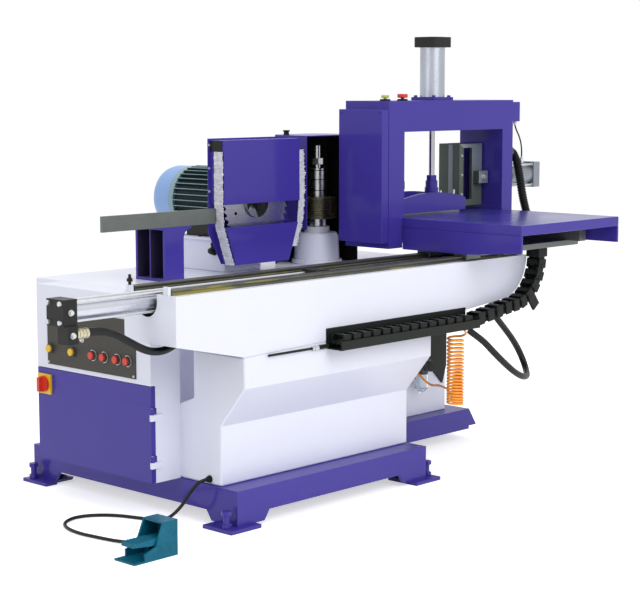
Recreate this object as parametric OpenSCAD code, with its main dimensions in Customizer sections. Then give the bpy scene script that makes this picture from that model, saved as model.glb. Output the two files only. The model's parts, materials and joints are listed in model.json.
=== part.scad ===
// Tenoning machine: a hydraulic sliding table carries clamped stock past a trim saw
// and a finger-jointing spindle. X runs along the bed, Y to the rear, Z up.

/* [Base] */
// Length of the base along the bed
base_len = 1560; // [1520:5:1700]
// Depth of the base from front to rear
base_depth = 1030; // [1025:5:1150]
// Height of the base's top face
base_h = 125; // [115:1:140]
// Length of the front step that carries the pedestal
step_len = 915; // [910:5:980]
// Depth of the front step
step_depth = 317; // [280:1:360]
// Wall of the base frame
base_wall = 12; // [8:1:16]
// Clearance under the base's beams
arch_h = 45; // [30:1:60]
// Width of the base's corner legs
leg_w = 110; // [100:1:150]
// Thickness of the foot plates
foot_t = 12; // [8:1:18]
// Side of a foot plate
foot_side = 130; // [120:1:140]
// Reach of a foot plate beyond the base
foot_reach = 50; // [46:1:60]
// Diameter of a levelling bolt
level_d = 20; // [16:1:22]
// Height of a levelling bolt
level_h = 66; // [56:1:90]

/* [Pedestal and bed] */
// Length of the pedestal
pedestal_len = 900; // [860:5:900]
// Setback of the pedestal's left end from the base
pedestal_in = 9; // [4:1:12]
// Width of the ledge in front of the pedestal
ledge_w = 82; // [70:1:100]
// Depth below the bed's top where the pedestal's front starts to rake outwards
waist_drop = 443; // [420:1:460]
// Depth below the bed's top where the rake meets the bed's front plane
knee_drop = 311; // [280:1:340]
// Depth of the pedestal's foot from the base's front edge
pedestal_back = 380; // [370:1:400]
// Height of the table's top face above the bed's
table_rise = 140; // [130:1:150]
// Length of the bed
bed_len = 1720; // [1700:5:1760]
// Overhang of the bed left of the base
bed_overhang = 269; // [240:1:300]
// Width of the bed
bed_w = 234; // [232:1:270]
// How far the bed's front plane stands before the base
bed_out = 26; // [10:1:40]
// Radius of the bed's nose
nose_r = 152; // [130:1:160]
// Wall of the bed and pedestal castings
cast_wall = 14; // [10:1:18]
// Width of a guide rail
rail_w = 38; // [36:1:40]
// Height of a guide rail
rail_h = 16; // [14:1:18]
// Distance between the rails' centre lines
rail_pitch = 168; // [164:1:170]

/* [Rear body and cabinet] */
// Length of the rear body
rear_len = 1480; // [1440:5:1500]
// Depth of the rear body's top face below the bed's
rear_drop = 45; // [40:1:60]
// Wall of sheet-metal housings
sheet = 8; // [5:1:10]
// How far the cabinet stands out left of the base
cab_out = 114; // [100:1:130]
// Distance of the cabinet's front side from the base's front edge
cab_front = 270; // [262:1:290]
// Width of the cabinet
cab_w = 576; // [560:1:600]
// Depth of the door's top edge below the rear body's top
door_drop = 277; // [265:1:295]
// Thickness of the door
door_t = 18; // [14:1:22]
// Width of the control panel
panel_w = 448; // [440:1:480]
// Height of the control panel
panel_h = 186; // [170:1:220]
// Thickness of the control panel
panel_t = 4; // [3:0.5:6]
// Depth of the row of buttons below the rear body's top
button_drop = 208; // [180:1:215]
// Diameter of a push button's cap
button_d = 24; // [20:1:26]
// Travel of a push button
button_travel = 4; // [2:0.5:5]

/* [Feed cylinder] */
// Bore of the feed cylinder
feed_bore = 50; // [44:1:50]
// Outer diameter of the feed cylinder's barrel
feed_d = 58; // [56:1:60]
// Diameter of the feed rod
feed_rod_d = 28; // [22:1:32]
// Side of the feed cylinder's square ends
feed_end = 77; // [76:1:80]
// Thickness of the feed cylinder's square ends
feed_end_t = 50; // [40:1:60]
// Reach of the feed cylinder left of the bed
feed_reach = 342; // [320:1:360]
// Depth of the feed cylinder's axis below the bed's top
feed_drop = 24; // [22:1:26]
// Stroke of the sliding table
table_stroke = 900; // [800:5:910]

/* [Sliding table] */
// Height of the table's top face
table_h = 900; // [890:1:910]
// Length of the table along the bed
table_len = 595; // [580:1:600]
// Reach of the table before the base
table_front = 271; // [250:1:290]
// Depth of the table from front to rear
table_depth = 761; // [750:1:770]
// Thickness of the table's rim
table_t = 35; // [30:1:40]
// Distance of the table's left edge from the base's left end, table at the right
table_x = 1086; // [1080:1:1092]
// Thickness of the table's aprons
apron_t = 10; // [6:1:12]
// Thickness of the saddle plate
saddle_t = 20; // [16:1:24]

/* [Portal and clamps] */
// Height of the portal above the table
portal_h = 420; // [400:1:440]
// Height of the portal's opening above the table
portal_clear = 309; // [300:1:320]
// Depth of the portal from front to rear
portal_depth = 209; // [200:1:216]
// Distance of the portal's front from the table's rear edge
portal_back = 230; // [225:1:235]
// Width of the portal's left leg
portal_left = 86; // [80:1:90]
// Width of the portal's right leg
portal_right = 65; // [60:1:70]
// Outer diameter of the upright clamp cylinder
clamp_d = 93; // [88:1:100]
// Length of the upright clamp cylinder's tube
clamp_len = 184; // [180:1:200]
// Diameter of the clamp rods
clamp_rod_d = 22; // [18:1:26]
// Stroke of the upright clamp
clamp_stroke = 140; // [100:1:145]
// Gap between press plate and table at rest
press_gap = 8; // [6:0.5:12]
// Length of the press plate
press_len = 400; // [380:1:410]
// Width of the press plate
press_w = 130; // [110:1:150]
// Outer diameter of the side clamp cylinder
side_d = 92; // [84:1:98]
// Length of the side clamp cylinder
side_len = 225; // [210:1:240]
// Height of the side clamp's axis above the table
side_z = 124; // [116:1:130]

/* [Saw] */
// Diameter of the saw blade
saw_d = 320; // [300:2:340]
// Thickness of the saw blade
saw_t = 3.2; // [2.6:0.2:4]
// Number of saw teeth
saw_teeth = 40; // [24:4:60]
// Distance of the saw's axis from the base's left end
saw_x = 650; // [640:1:660]
// Height of the saw's axis above the table
saw_up = 65; // [60:1:75]
// Diameter of the saw arbor
arbor_d = 30; // [25:1:35]
// Diameter of the saw motor over its fins
motor_d = 242; // [230:1:250]
// Length of the saw motor without its fan cover
motor_len = 308; // [300:1:320]
// Width of the saw guard
guard_w = 375; // [360:1:390]
// Depth of the saw guard
guard_depth = 71; // [66:1:76]
// Height of the guard's gap for the work
guard_gap = 78; // [70:1:84]

/* [Cutter spindle] */
// Distance of the spindle's axis from the base's left end
spindle_x = 1033; // [1025:1:1040]
// Distance of the spindle's axis from the base's front edge
spindle_y = 637; // [632:1:650]
// Diameter of the spindle shaft
spindle_d = 40; // [36:1:46]
// Diameter of the finger cutters
cutter_d = 150; // [130:2:160]
// Height of the stack of finger cutters
cutter_h = 80; // [60:5:100]
// Number of fingers in the stack
fingers = 10; // [6:1:14]
// Diameter of the spindle housing's foot
housing_d = 190; // [176:1:200]
// Height of the spindle housing
housing_h = 116; // [108:1:124]
// Width of the cutter hood
hood_w = 280; // [260:2:290]
// Height of the cutter hood above the table
hood_up = 294; // [280:1:300]
// Diameter of the spindle's pulley
spindle_pulley_d = 90; // [80:1:100]
// Diameter of the motor's pulley
motor_pulley_d = 160; // [140:1:180]

/* [Services and pedal] */
// Diameter of the hydraulic hoses
hose_d = 24; // [20:1:26]
// Diameter of the air hose
air_d = 8; // [6:0.5:9]
// Outer diameter of the air hose's coil
coil_d = 62; // [56:1:70]
// Number of curls in the air hose's coil
coil_turns = 20; // [16:1:21]
// Diameter of the pedal's cable
pedal_cable_d = 11; // [8:0.5:12]
// Diameter of the ribbed conduit
conduit_d = 34; // [28:1:36]
// Thickness of the drag chain
chain_t = 44; // [38:1:46]
// Width of the drag chain
chain_w = 58; // [50:1:60]
// Length of the pedal
pedal_len = 168; // [160:1:180]
// Width of the pedal
pedal_w = 90; // [80:1:96]

/* [Hidden] */

$fn = 48;

// Radial clearance of a shaft in its hole
fit = 0.05;
// Clearance between pieces that move past each other
gap = 0.3;
// Overshoot of a cut past the face that it opens
over = 1;

purple = [0.27, 0.20, 0.55];
white = [0.93, 0.93, 0.95];
steel = [0.62, 0.63, 0.62];
black = [0.08, 0.08, 0.09];
teal = [0.10, 0.40, 0.52];
red = [0.80, 0.12, 0.08];
yellow = [0.90, 0.75, 0.10];

// Main planes, taken from the base's front left corner
bed_top = table_h - table_rise;
waist_z = bed_top - waist_drop;
knee_z = bed_top - knee_drop;
rear_top = bed_top - rear_drop;
door_top = rear_top - door_drop;
button_z = rear_top - button_drop;
feed_z = bed_top - feed_drop;
bed_y0 = -bed_out;
bed_y1 = bed_y0 + bed_w;
bed_x0 = -bed_overhang;
bed_x1 = bed_x0 + bed_len;
bed_mid = bed_y0 + 130;
ped_x0 = pedestal_in;
ped_x1 = ped_x0 + pedestal_len;
cab_x0 = -cab_out;
cab_y1 = cab_front + cab_w;
cab_top = rear_top + 2;
rear_y1 = base_depth - 20;
rear_x1 = ped_x0 + rear_len;
rail_top = bed_top + rail_h;
saddle_z = rail_top + 10;
saddle_top = saddle_z + saddle_t;
table_z0 = table_h - table_t;
table_x1 = table_x + table_len;
table_y0 = -table_front;
table_y1 = table_y0 + table_depth;
portal_y0 = table_y1 - portal_back;
portal_y1 = portal_y0 + portal_depth;
portal_lap = 9;
portal_x0 = table_x + portal_lap - portal_left;
portal_x1 = table_x1 - 5 + portal_right;
portal_top = table_h + portal_h;
open_top = table_h + portal_clear;
open_x0 = portal_x0 + portal_left;
open_x1 = portal_x1 - portal_right;
feed_x0 = bed_x0 - feed_reach;
feed_head_x = feed_x0 + table_stroke + 150;
feed_y = bed_mid;
nut_t = 8;
lug_x = feed_head_x + feed_end_t + table_stroke + 2 * nut_t;
clamp_x = (open_x0 + open_x1) / 2 - 10;
clamp_y = portal_y0 + portal_depth / 2;
side_y = portal_y0 + 82;
side_axis_z = table_h + side_z;
side_x1 = portal_x1 + side_len;
saw_y = 572;
saw_z = table_h + saw_up;
guard_x0 = saw_x - guard_w / 2 - 8;
guard_x1 = guard_x0 + guard_w;
guard_y0 = 529;
guard_y1 = guard_y0 + guard_depth;
guard_top = saw_z + 222;
guard_sheet = 3;
gap_z0 = table_h - 13;
gap_z1 = gap_z0 + guard_gap;
motor_y1 = guard_y1 + motor_len;
cover_len = 110;
shaft_top = table_h + 254;
cutter_z = table_h - 17;
hood_top = table_h + hood_up;
belt_z = rear_top - 115;
belt_w = 36;
belt_t = 6;
drive_x = spindle_x + 210;
drive_y = spindle_y;
drive_len = (belt_z - base_h) * 0.63;
tray_x0 = 374;
tray_x1 = 1091;
chain_off = -5;
chain_r = nose_r + chain_off + chain_t / 2;
chain_low = 31;
nose_x = bed_x1 - nose_r;
chain_y = bed_y0 - gap - 5 - chain_w / 2;
chain_z = bed_top - chain_r - chain_low;
chain_end_z = saddle_z - 8;
coil_x = 996;
coil_y = -62;
air_x = 1300;
air_y = pedestal_back - 36;
air_z = bed_top - 435;
pedal_x0 = -470;
pedal_x1 = pedal_x0 + pedal_len;
pedal_y0 = -60;
pedal_y1 = pedal_y0 + pedal_w;
pedal_h = 108;
pedal_pin_x = pedal_x1 - 34;
pedal_pin_z = 50;
hinge_x = cab_x0 - 2;
hinge_y = cab_front - 6;
knob_y = cab_y1 - 42;
knob_z = door_top - 55;

// Frame origin: centre of the footprint box, on the floor
datum_x = (feed_x0 - nut_t + side_x1) / 2;
datum_y = (table_y0 + base_depth) / 2;

// Routes of the free cords, points chosen along the real run
pedal_route = [
    [9, 133, 143], [-3, 133, 143], [-15, 133, 143], [-38, 138, 136],
    [-58, 152, 108], [-74, 178, 62], [-90, 215, 24],
    [-104, 262, 8], [-122, 330, 6.5], [-150, 402, 6.5], [-196, 456, 6.5], [-256, 478, 6.5], [-318, 452, 6.5],
    [-354, 396, 6.5], [-366, 322, 6.5], [-358, 240, 6.5], [-346, 168, 7], [-336, 112, 12], [-330, 72, 24],
    [-328, 58, 30], [-328, 44, 30], [-328, 30, 30]
];
// Heights of these two are taken from the bed's top
feed_hose_route = from_bed([
    [-565, 79, -89], [-545, 79, -89], [-525, 79, -89], [-500, 79, -88], [-457, 79, -92], [-408, 79, -109],
    [-361, 79, -133], [-314, 79, -157], [-274, 79, -171], [-230, 79, -174], [-190, 79, -164],
    [-156, 79, -143], [-136, 79, -123], [-130, 79, -108.2], [-130, 79, -96.2], [-130, 79, -84.2]
]);
loop_hose_route = from_bed([
    [1092, -6, -172.4], [1092, -6, -186], [1092, -6, -199.6], [1098, -14, -228], [1130, -32, -256],
    [1180, -44, -292],
    [1240, -48, -340], [1300, -49, -384], [1360, -47, -422], [1424, -36, -448], [1486, -10, -456],
    [1530, 26, -442],
    [1546, 54, -408], [1528, 64, -366], [1484, 62, -320], [1432, 58, -276], [1384, 54, -236],
    [1358, 50, -204],
    [1350, 48, -181], [1350, 48, -164], [1350, 48, -147.2]
]);

function from_bed(route) = [for (p = route) p + [0, 0, bed_top]];

conduit_route = [
    [1741, 436, 1130], [1752, 436, 1130], [1763, 436, 1130], [1788, 436, 1114],
    [1806, 434, 1072], [1812, 424, 1018], [1806, 402, 960], [1792, 366, 908],
    [1774, 316, 868], [1766, 270, 850], [1752, 232, 840], [1719, 212, 836], [1700, 212, 836],
    [1681, 212, 836]
];
box_wire_route = [
    [1770, 300, 1236], [1770, 300, 1229], [1770, 300, 1222], [1786, 304, 1196],
    [1806, 316, 1162], [1818, 330, 1126], [1822, 342, 1096], [1822, 342, 1088], [1822, 342, 1080]
];

// Moves the machine from its base corner to the frame's origin
module place() {
    translate([-datum_x, -datum_y, 0]) children();
}

// Block between two opposite corners
module block(a, b) {
    translate(a) cube(b - a);
}

// Round bar along X from a point
module bar_x(at, len, d) {
    translate(at) rotate([0, 90, 0]) cylinder(h = len, d = d);
}

// Round bar along Y from a point
module bar_y(at, len, d) {
    translate(at) rotate([-90, 0, 0]) cylinder(h = len, d = d);
}

// Sweeps a Y-Z profile along X
module sweep_x(x0, len) {
    translate([x0, 0, 0]) rotate([90, 0, 90]) linear_extrude(len) children();
}

// Sweeps an X-Z profile along Y
module sweep_y(y0, len) {
    translate([0, y0 + len, 0]) rotate([90, 0, 0]) linear_extrude(len) children();
}

// Spline point between p1 and p2
function spline(p0, p1, p2, p3, t) =
    0.5 * (2 * p1 + (p2 - p0) * t + (2 * p0 - 5 * p1 + 4 * p2 - p3) * t * t
        + (3 * p1 - p0 - 3 * p2 + p3) * t * t * t);

// Route refined into steps per stretch
function smooth(route, steps) =
    let (n = len(route))
    concat(
        [for (i = [0 : n - 2]) for (s = [0 : steps - 1])
            spline(route[max(i - 1, 0)], route[i], route[i + 1], route[min(i + 2, n - 1)], s / steps)],
        [route[n - 1]]);

function unit(v) = v / norm(v);
function tangent(path, i) = unit(path[min(i + 1, len(path) - 1)] - path[max(i - 1, 0)]);
function any_normal(t) = unit(cross(t, abs(t.z) < 0.8 ? [0, 0, 1] : [1, 0, 0]));
function carried(n, t) = unit(n - (n * t) * t);

// Normals carried along a path without twist
function normals(path) =
    [for (i = 0, n = any_normal(tangent(path, 0)); i < len(path);
          i = i + 1, n = i < len(path) ? carried(n, tangent(path, i)) : n) n];

// Closed tube along a path, with a radius for each ring
module tube(path, radii, sides) {
    rings = len(path);
    side_dirs = normals(path);
    points = [for (i = [0 : rings - 1]) for (j = [0 : sides - 1])
        let (t = tangent(path, i), n = side_dirs[i], b = cross(t, n), a = 360 * j / sides)
        path[i] + radii[i] * (cos(a) * n + sin(a) * b)];
    walls = [for (i = [0 : rings - 2]) for (j = [0 : sides - 1])
        let (k = (j + 1) % sides, a = i * sides + j, b = i * sides + k, c = a + sides, d = b + sides)
        each [[a, c, b], [b, c, d]]];
    start = [for (j = [1 : sides - 2]) [0, j, j + 1]];
    end = [for (j = [1 : sides - 2]) let (e = (rings - 1) * sides) [e, e + j + 1, e + j]];
    polyhedron(points = points, faces = concat(walls, start, end), convexity = 10);
}

module even_tube(path, d, sides) {
    tube(path, [for (p = path) d / 2], sides);
}

// Base outline, drawn in by an inset
module base_plan(inset) {
    polygon([
        [inset, inset], [step_len - inset, inset], [step_len - inset, step_depth + inset],
        [base_len - inset, step_depth + inset], [base_len - inset, base_depth - inset],
        [inset, base_depth - inset]
    ]);
}

// Arch with raked ends under a skirt
module arch(a, b) {
    polygon([[a, -over], [b, -over], [b - arch_h * 0.7, arch_h], [a + arch_h * 0.7, arch_h]]);
}

// Base edge, front edge of the foot plate, and the side on which the plate stands out
function feet() = [
    [0, -foot_front, -1], [0, base_depth - foot_side, -1],
    [step_len, -foot_front, 1], [base_len, base_depth - foot_side, 1]
];
foot_front = 25;
ledge_rake = 45;
ledge_h = 68;

function bolt_place(f) = [f.x + f.z * foot_reach * 0.56, f.y + foot_side * (f.y < 0 ? 0.35 : 0.75), 0];

module base_frame() {
    color(purple) place() difference() {
        union() {
            translate([0, 0, foot_t]) linear_extrude(base_h - foot_t) base_plan(0);
            for (f = feet())
                translate([f.x + f.z * (foot_reach - foot_side / 2) - foot_side / 2, f.y, 0])
                    cube([foot_side, foot_side, foot_t]);
            sweep_y(step_depth, base_depth - step_depth) polygon([
                [base_len - over, base_h], [base_len, base_h], [base_len + ledge_rake, base_h - ledge_h],
                [base_len - over, base_h - ledge_h]
            ]);
        }
        translate([0, 0, foot_t]) linear_extrude(base_h - foot_t - base_wall) base_plan(base_wall);
        sweep_y(-over, base_depth + 2 * over) arch(leg_w, step_len - leg_w);
        sweep_y(step_depth - over, base_depth) arch(step_len + leg_w / 2, base_len - leg_w);
        sweep_x(-over, base_len + 2 * over) arch(leg_w, base_depth - leg_w);
        for (f = feet())
            translate(bolt_place(f)) {
                translate([0, 0, -over]) cylinder(h = foot_t + 2 * over, d = level_d + 2 * fit);
                translate([0, 0, foot_t]) cylinder(h = base_h, d = level_d * 1.7 + 2 * gap);
            }
    }
}

module levelling_bolts() {
    head = level_d * 0.7;
    color(steel) place() for (f = feet()) translate(bolt_place(f)) {
        cylinder(h = level_h, d = level_d);
        translate([0, 0, foot_t]) cylinder(h = head, d = level_d * 1.7, $fn = 6);
        translate([0, 0, level_h - head]) cylinder(h = head, d = level_d * 1.7, $fn = 6);
    }
}

// Side view of the bed
module bed_outline() {
    polygon([
        [bed_x0, bed_top - 150], [ped_x0, bed_top - 212], [ped_x1, bed_top - 188],
        [nose_x, bed_top - nose_r], [nose_x, bed_top], [bed_x0, bed_top]
    ]);
    intersection() {
        translate([nose_x, bed_top]) circle(r = nose_r, $fn = 96);
        translate([nose_x, bed_top - nose_r]) square(nose_r);
    }
}

trough_w = 100;
trough_r = 46;

module bed() {
    trough_z = feed_z - trough_r;
    color(white) place() difference() {
        sweep_y(bed_y0, bed_w) bed_outline();
        block([bed_x0 + cast_wall, feed_y - trough_w / 2, trough_z],
              [bed_x1 + over, feed_y + trough_w / 2, bed_top + over]);
        bar_x([bed_x0 - over, feed_y, feed_z], cast_wall + 2 * over, 2 * trough_r);
        block([bed_x0 - over, feed_y - trough_r, feed_z],
              [bed_x0 + cast_wall + over, feed_y + trough_r, bed_top + over]);
        block([bed_x0 + cast_wall, bed_y0 + cast_wall, bed_top - 300],
              [nose_x - cast_wall, bed_y1 - cast_wall, trough_z - cast_wall]);
    }
}

// End view of the pedestal, drawn in by an inset
module pedestal_profile(inset) {
    back_knee = knee_z - 56;
    back_waist = waist_z + 11;
    polygon([
        [ledge_w + inset, base_h], [ledge_w + inset, waist_z + inset / 2],
        [bed_y0 + inset, knee_z + inset / 2], [bed_y0 + inset, bed_top - 160],
        [bed_y1 - inset, bed_top - 160], [bed_y1 - inset, back_knee - inset / 2],
        [pedestal_back - inset, back_waist - inset / 2], [pedestal_back - inset, base_h]
    ]);
}

module pedestal() {
    color(white) place() difference() {
        sweep_x(ped_x0, pedestal_len) pedestal_profile(0);
        translate([0, 0, -over]) sweep_x(ped_x0 + cast_wall, pedestal_len - 2 * cast_wall)
            pedestal_profile(cast_wall);
        sweep_y(bed_y0 - over, bed_w + 2 * over) bed_outline();
    }
}

module rail_profile() {
    w = rail_w / 2;
    nip = 3;
    polygon([
        [-w, 0], [w, 0], [w, rail_h * 0.3], [w - nip, rail_h * 0.5], [w, rail_h * 0.7], [w, rail_h],
        [-w, rail_h], [-w, rail_h * 0.7], [nip - w, rail_h * 0.5], [-w, rail_h * 0.3]
    ]);
}

module guide_rails() {
    inset = 14;
    color(steel) place() for (side = [-1, 1])
        translate([0, bed_mid + side * rail_pitch / 2, bed_top])
            sweep_x(bed_x0 + inset, bed_len - 2 * inset) rail_profile();
}

module rear_body() {
    color(white) place() difference() {
        block([ped_x0, pedestal_back, base_h], [rear_x1, rear_y1, rear_top]);
        block([ped_x0 + sheet, pedestal_back + sheet, base_h - over],
              [rear_x1 - sheet, rear_y1 - sheet, rear_top - sheet]);
        translate([spindle_x, spindle_y, base_h]) cylinder(h = rear_top, d = housing_d - 60);
    }
}

// Heights of the door's two hinges
function hinge_heights() = [base_h + 70, door_top - 90];
hinge_len = 40;
hinge_r = 7;
hinge_pin_d = 7;

module electrical_cabinet() {
    recess = door_t + gap;
    color(white) place() {
        difference() {
            sweep_y(cab_front, cab_w) polygon([
                [cab_x0 + recess, base_h], [ped_x0, base_h], [ped_x0, cab_top], [cab_x0, cab_top],
                [cab_x0, door_top], [cab_x0 + recess, door_top]
            ]);
            block([cab_x0 - over, cab_front + sheet, base_h + sheet],
                  [ped_x0 - sheet, cab_y1 - sheet, door_top - sheet]);
            block([cab_x0 + recess, cab_front + sheet, door_top - 2 * sheet],
                  [ped_x0 - sheet, cab_y1 - sheet, cab_top - sheet]);
            block([cab_x0 - over, panel_y0 + sheet, panel_z0 + sheet],
                  [cab_x0 + recess + over, panel_y0 + panel_w - sheet, panel_z0 + panel_h - sheet]);
        }
        for (z = hinge_heights()) translate([0, 0, z]) {
            translate([hinge_x, hinge_y, -hinge_len / 2]) cylinder(h = hinge_len / 2 - gap, r = hinge_r);
            translate([hinge_x, hinge_y, -hinge_len / 2]) cylinder(h = hinge_len, d = hinge_pin_d);
            block([hinge_x, hinge_y - hinge_r, -hinge_len / 2],
                  [cab_x0 + recess + 20, cab_front - gap, -gap]);
            block([cab_x0 + recess + 4, hinge_y - hinge_r, -hinge_len / 2],
                  [cab_x0 + recess + 20, cab_front + over, -gap]);
        }
    }
}

module cabinet_door() {
    edge = 2;
    color(purple) place() difference() {
        union() {
            block([cab_x0, cab_front, base_h + edge], [cab_x0 + door_t, cab_y1, door_top - edge]);
            for (z = hinge_heights()) translate([0, 0, z]) {
                translate([hinge_x, hinge_y, 0]) cylinder(h = hinge_len / 2, r = hinge_r);
                block([hinge_x, hinge_y, 0], [cab_x0 + door_t, cab_front + over, hinge_len / 2]);
            }
        }
        for (z = hinge_heights()) translate([hinge_x, hinge_y, z]) {
            translate([0, 0, -over]) cylinder(h = hinge_len, d = hinge_pin_d + 2 * fit);
            translate([0, 0, -hinge_len / 2 - over]) cylinder(h = hinge_len / 2 + over, r = hinge_r + 3);
        }
        bar_x([cab_x0 - over, knob_y, knob_z], door_t + 2 * over, knob_shaft_d + 2 * fit);
    }
}

knob_shaft_d = 10;
switch_side = 68;
switch_t = 8;

module switch_base() {
    color(yellow) place() difference() {
        block([cab_x0 - switch_t, knob_y - switch_side / 2, knob_z - switch_side / 2],
              [cab_x0, knob_y + switch_side / 2, knob_z + switch_side / 2]);
        bar_x([cab_x0 - switch_t - over, knob_y, knob_z], switch_t + 2 * over, knob_shaft_d + 2 * fit);
    }
}

module switch_knob() {
    disc_d = 54;
    disc_t = 10;
    grip = [16, 48, 14];
    face_x = cab_x0 - switch_t - gap;
    color(red) place() {
        bar_x([face_x - disc_t, knob_y, knob_z], disc_t, disc_d);
        bar_x([face_x - disc_t, knob_y, knob_z], disc_t + switch_t + door_t, knob_shaft_d);
        translate([face_x - disc_t - grip.x, knob_y - grip.z / 2, knob_z - grip.y / 2])
            cube([grip.x + over, grip.z, grip.y]);
    }
}

panel_y0 = cab_front + 68;
panel_z0 = door_top + 15;

// Y places of the panel's buttons
function button_places() = [for (d = [104, 156, 220, 277, 381, 497]) cab_front + d];
stem_d = 12;
bezel_d = button_d + 8;
bezel_t = 8;

module control_panel() {
    face_x = cab_x0 - panel_t;
    color(black) place() difference() {
        union() {
            block([face_x, panel_y0, panel_z0], [cab_x0, panel_y0 + panel_w, panel_z0 + panel_h]);
            for (y = button_places()) bar_x([face_x - bezel_t, y, button_z], bezel_t + over, bezel_d);
        }
        for (y = button_places()) {
            bar_x([face_x - bezel_t - over, y, button_z], bezel_t + over, button_d + 2 * gap);
            bar_x([face_x - over, y, button_z], panel_t + 2 * over, stem_d + 2 * fit);
        }
    }
}

// Push button with a round cap, pressed along +X
module push_button(y) {
    face_x = cab_x0 - panel_t;
    back = button_travel + 0.8;
    cap = bezel_t + 6 - back;
    bar_x([face_x - back - cap, y, button_z], cap, button_d);
    bar_x([face_x - back - over, y, button_z], back + over + panel_t + 14, stem_d);
}

module button_1() { color(red) place() push_button(button_places()[0]); }
module button_2() { color(red) place() push_button(button_places()[1]); }
module button_3() { color(red) place() push_button(button_places()[2]); }
module button_4() { color(red) place() push_button(button_places()[3]); }
module button_5() { color(yellow) place() push_button(button_places()[4]); }
module button_6() { color(yellow) place() push_button(button_places()[5]); }

tie_d = 8;
tie_at = 27;

module feed_barrel() {
    x0 = feed_x0 + feed_end_t;
    color(steel) place() difference() {
        bar_x([x0, feed_y, feed_z], feed_head_x - x0, feed_d);
        bar_x([x0 - over, feed_y, feed_z], feed_head_x - x0 + 2 * over, feed_bore);
    }
}

// Corners of the tie-rod square
function tie_places() = [for (a = [-1, 1]) for (b = [-1, 1]) [0, feed_y + a * tie_at, feed_z + b * tie_at]];

module feed_ends() {
    half = feed_end / 2;
    port = [38, 46, 52];
    color(black) place() difference() {
        union() {
            block([feed_x0, feed_y - half, feed_z - half],
                  [feed_x0 + feed_end_t, feed_y + half, feed_z + half]);
            block([feed_x0 + 8, feed_y - half - 8, feed_z - half - port.z],
                  [feed_x0 + 8 + port.x, feed_y - half - 8 + port.y, feed_z - half + over]);
            block([feed_head_x, feed_y - half, feed_z - trough_r],
                  [feed_head_x + feed_end_t, feed_y + half, feed_z + half]);
        }
        bar_x([feed_head_x - over, feed_y, feed_z], feed_end_t + 2 * over, feed_rod_d + 2 * fit);
        for (p = tie_places()) {
            bar_x(p + [feed_x0 - over, 0, 0], feed_end_t + 2 * over, tie_d + 2 * fit);
            bar_x(p + [feed_head_x - over, 0, 0], feed_end_t + 2 * over, tie_d + 2 * fit);
        }
    }
}

module feed_tie_rods() {
    nut_d = 15;
    last = feed_head_x + feed_end_t;
    color(steel) place() for (p = tie_places()) {
        bar_x(p + [feed_x0 - nut_t, 0, 0], last - feed_x0 + 2 * nut_t, tie_d);
        for (x = [feed_x0 - nut_t, last])
            translate(p + [x, 0, 0]) rotate([0, 90, 0]) cylinder(h = nut_t, d = nut_d, $fn = 6);
    }
}

lug_t = 30;
stud_d = 20;

module feed_rod() {
    piston_t = 30;
    piston_x = feed_head_x - piston_t - 5;
    color(steel) place() {
        bar_x([piston_x, feed_y, feed_z], piston_t, feed_bore - 2 * fit);
        bar_x([piston_x, feed_y, feed_z], lug_x - piston_x, feed_rod_d);
        bar_x([lug_x - over, feed_y, feed_z], lug_t + over + 24, stud_d);
        translate([lug_x + lug_t, feed_y, feed_z])
            rotate([0, 90, 0]) cylinder(h = 16, d = stud_d * 1.6, $fn = 6);
    }
}

module hydraulic_hoses() {
    color(black) place() {
        even_tube(smooth(feed_hose_route, 3), hose_d, 8);
        even_tube(smooth(loop_hose_route, 3), hose_d, 8);
    }
}

bar_t = 10;
bar_h = 53;
bar_y0 = 566;

module outfeed_bar() {
    color(steel) place() block([-57, bar_y0, table_h], [guard_x0 - 4, bar_y0 + bar_t, table_h + bar_h]);
}

module outfeed_bracket() {
    x0 = 213;
    w = 78;
    depth = 151;
    plate = 10;
    reach = 90;
    color(purple) place() {
        // upright channel, open to the left, with a rib in its middle
        difference() {
            block([x0, bar_y0, rear_top], [x0 + w, bar_y0 + depth, table_h]);
            for (y = [bar_y0 + plate, bar_y0 + depth / 2 + plate / 4])
                block([x0 - over, y, rear_top + plate],
                      [x0 + w - plate, y + (depth - 2.5 * plate) / 2, table_h - plate]);
        }
        difference() {
            block([x0 + w, bar_y0, rear_top], [x0 + w + reach, bar_y0 + plate, table_h]);
            translate([x0 + w + reach, bar_y0 - over, rear_top + reach]) rotate([-90, 0, 0])
                cylinder(h = plate + 2 * over, r = reach - 8);
            block([x0 + w + 8, bar_y0 - over, rear_top + reach],
                  [x0 + w + reach + over, bar_y0 + plate + over, table_h + over]);
        }
    }
}

motor_foot_z = saw_z - motor_d / 2 - 6;

module saw_base() {
    half = 92;
    y0 = guard_y1 + 40;
    color(white) place() {
        block([saw_x - half, y0, rear_top], [saw_x + half, y0 + 230, motor_foot_z - 14]);
        block([saw_x - half - 18, y0 - 10, motor_foot_z - 14], [saw_x + half + 18, y0 + 240, motor_foot_z]);
    }
}

// End view of the motor's ribbed frame
module fin_plan(core_r) {
    fins = 36;
    tip_r = motor_d / 2;
    polygon([for (i = [0 : fins - 1]) each
        [for (p = [[core_r, -2.2], [tip_r, -1.4], [tip_r, 1.4], [core_r, 2.2]])
        let (a = 360 * i / fins + asin(p.y / p.x)) p.x * [cos(a), sin(a)]]]);
}

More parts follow.
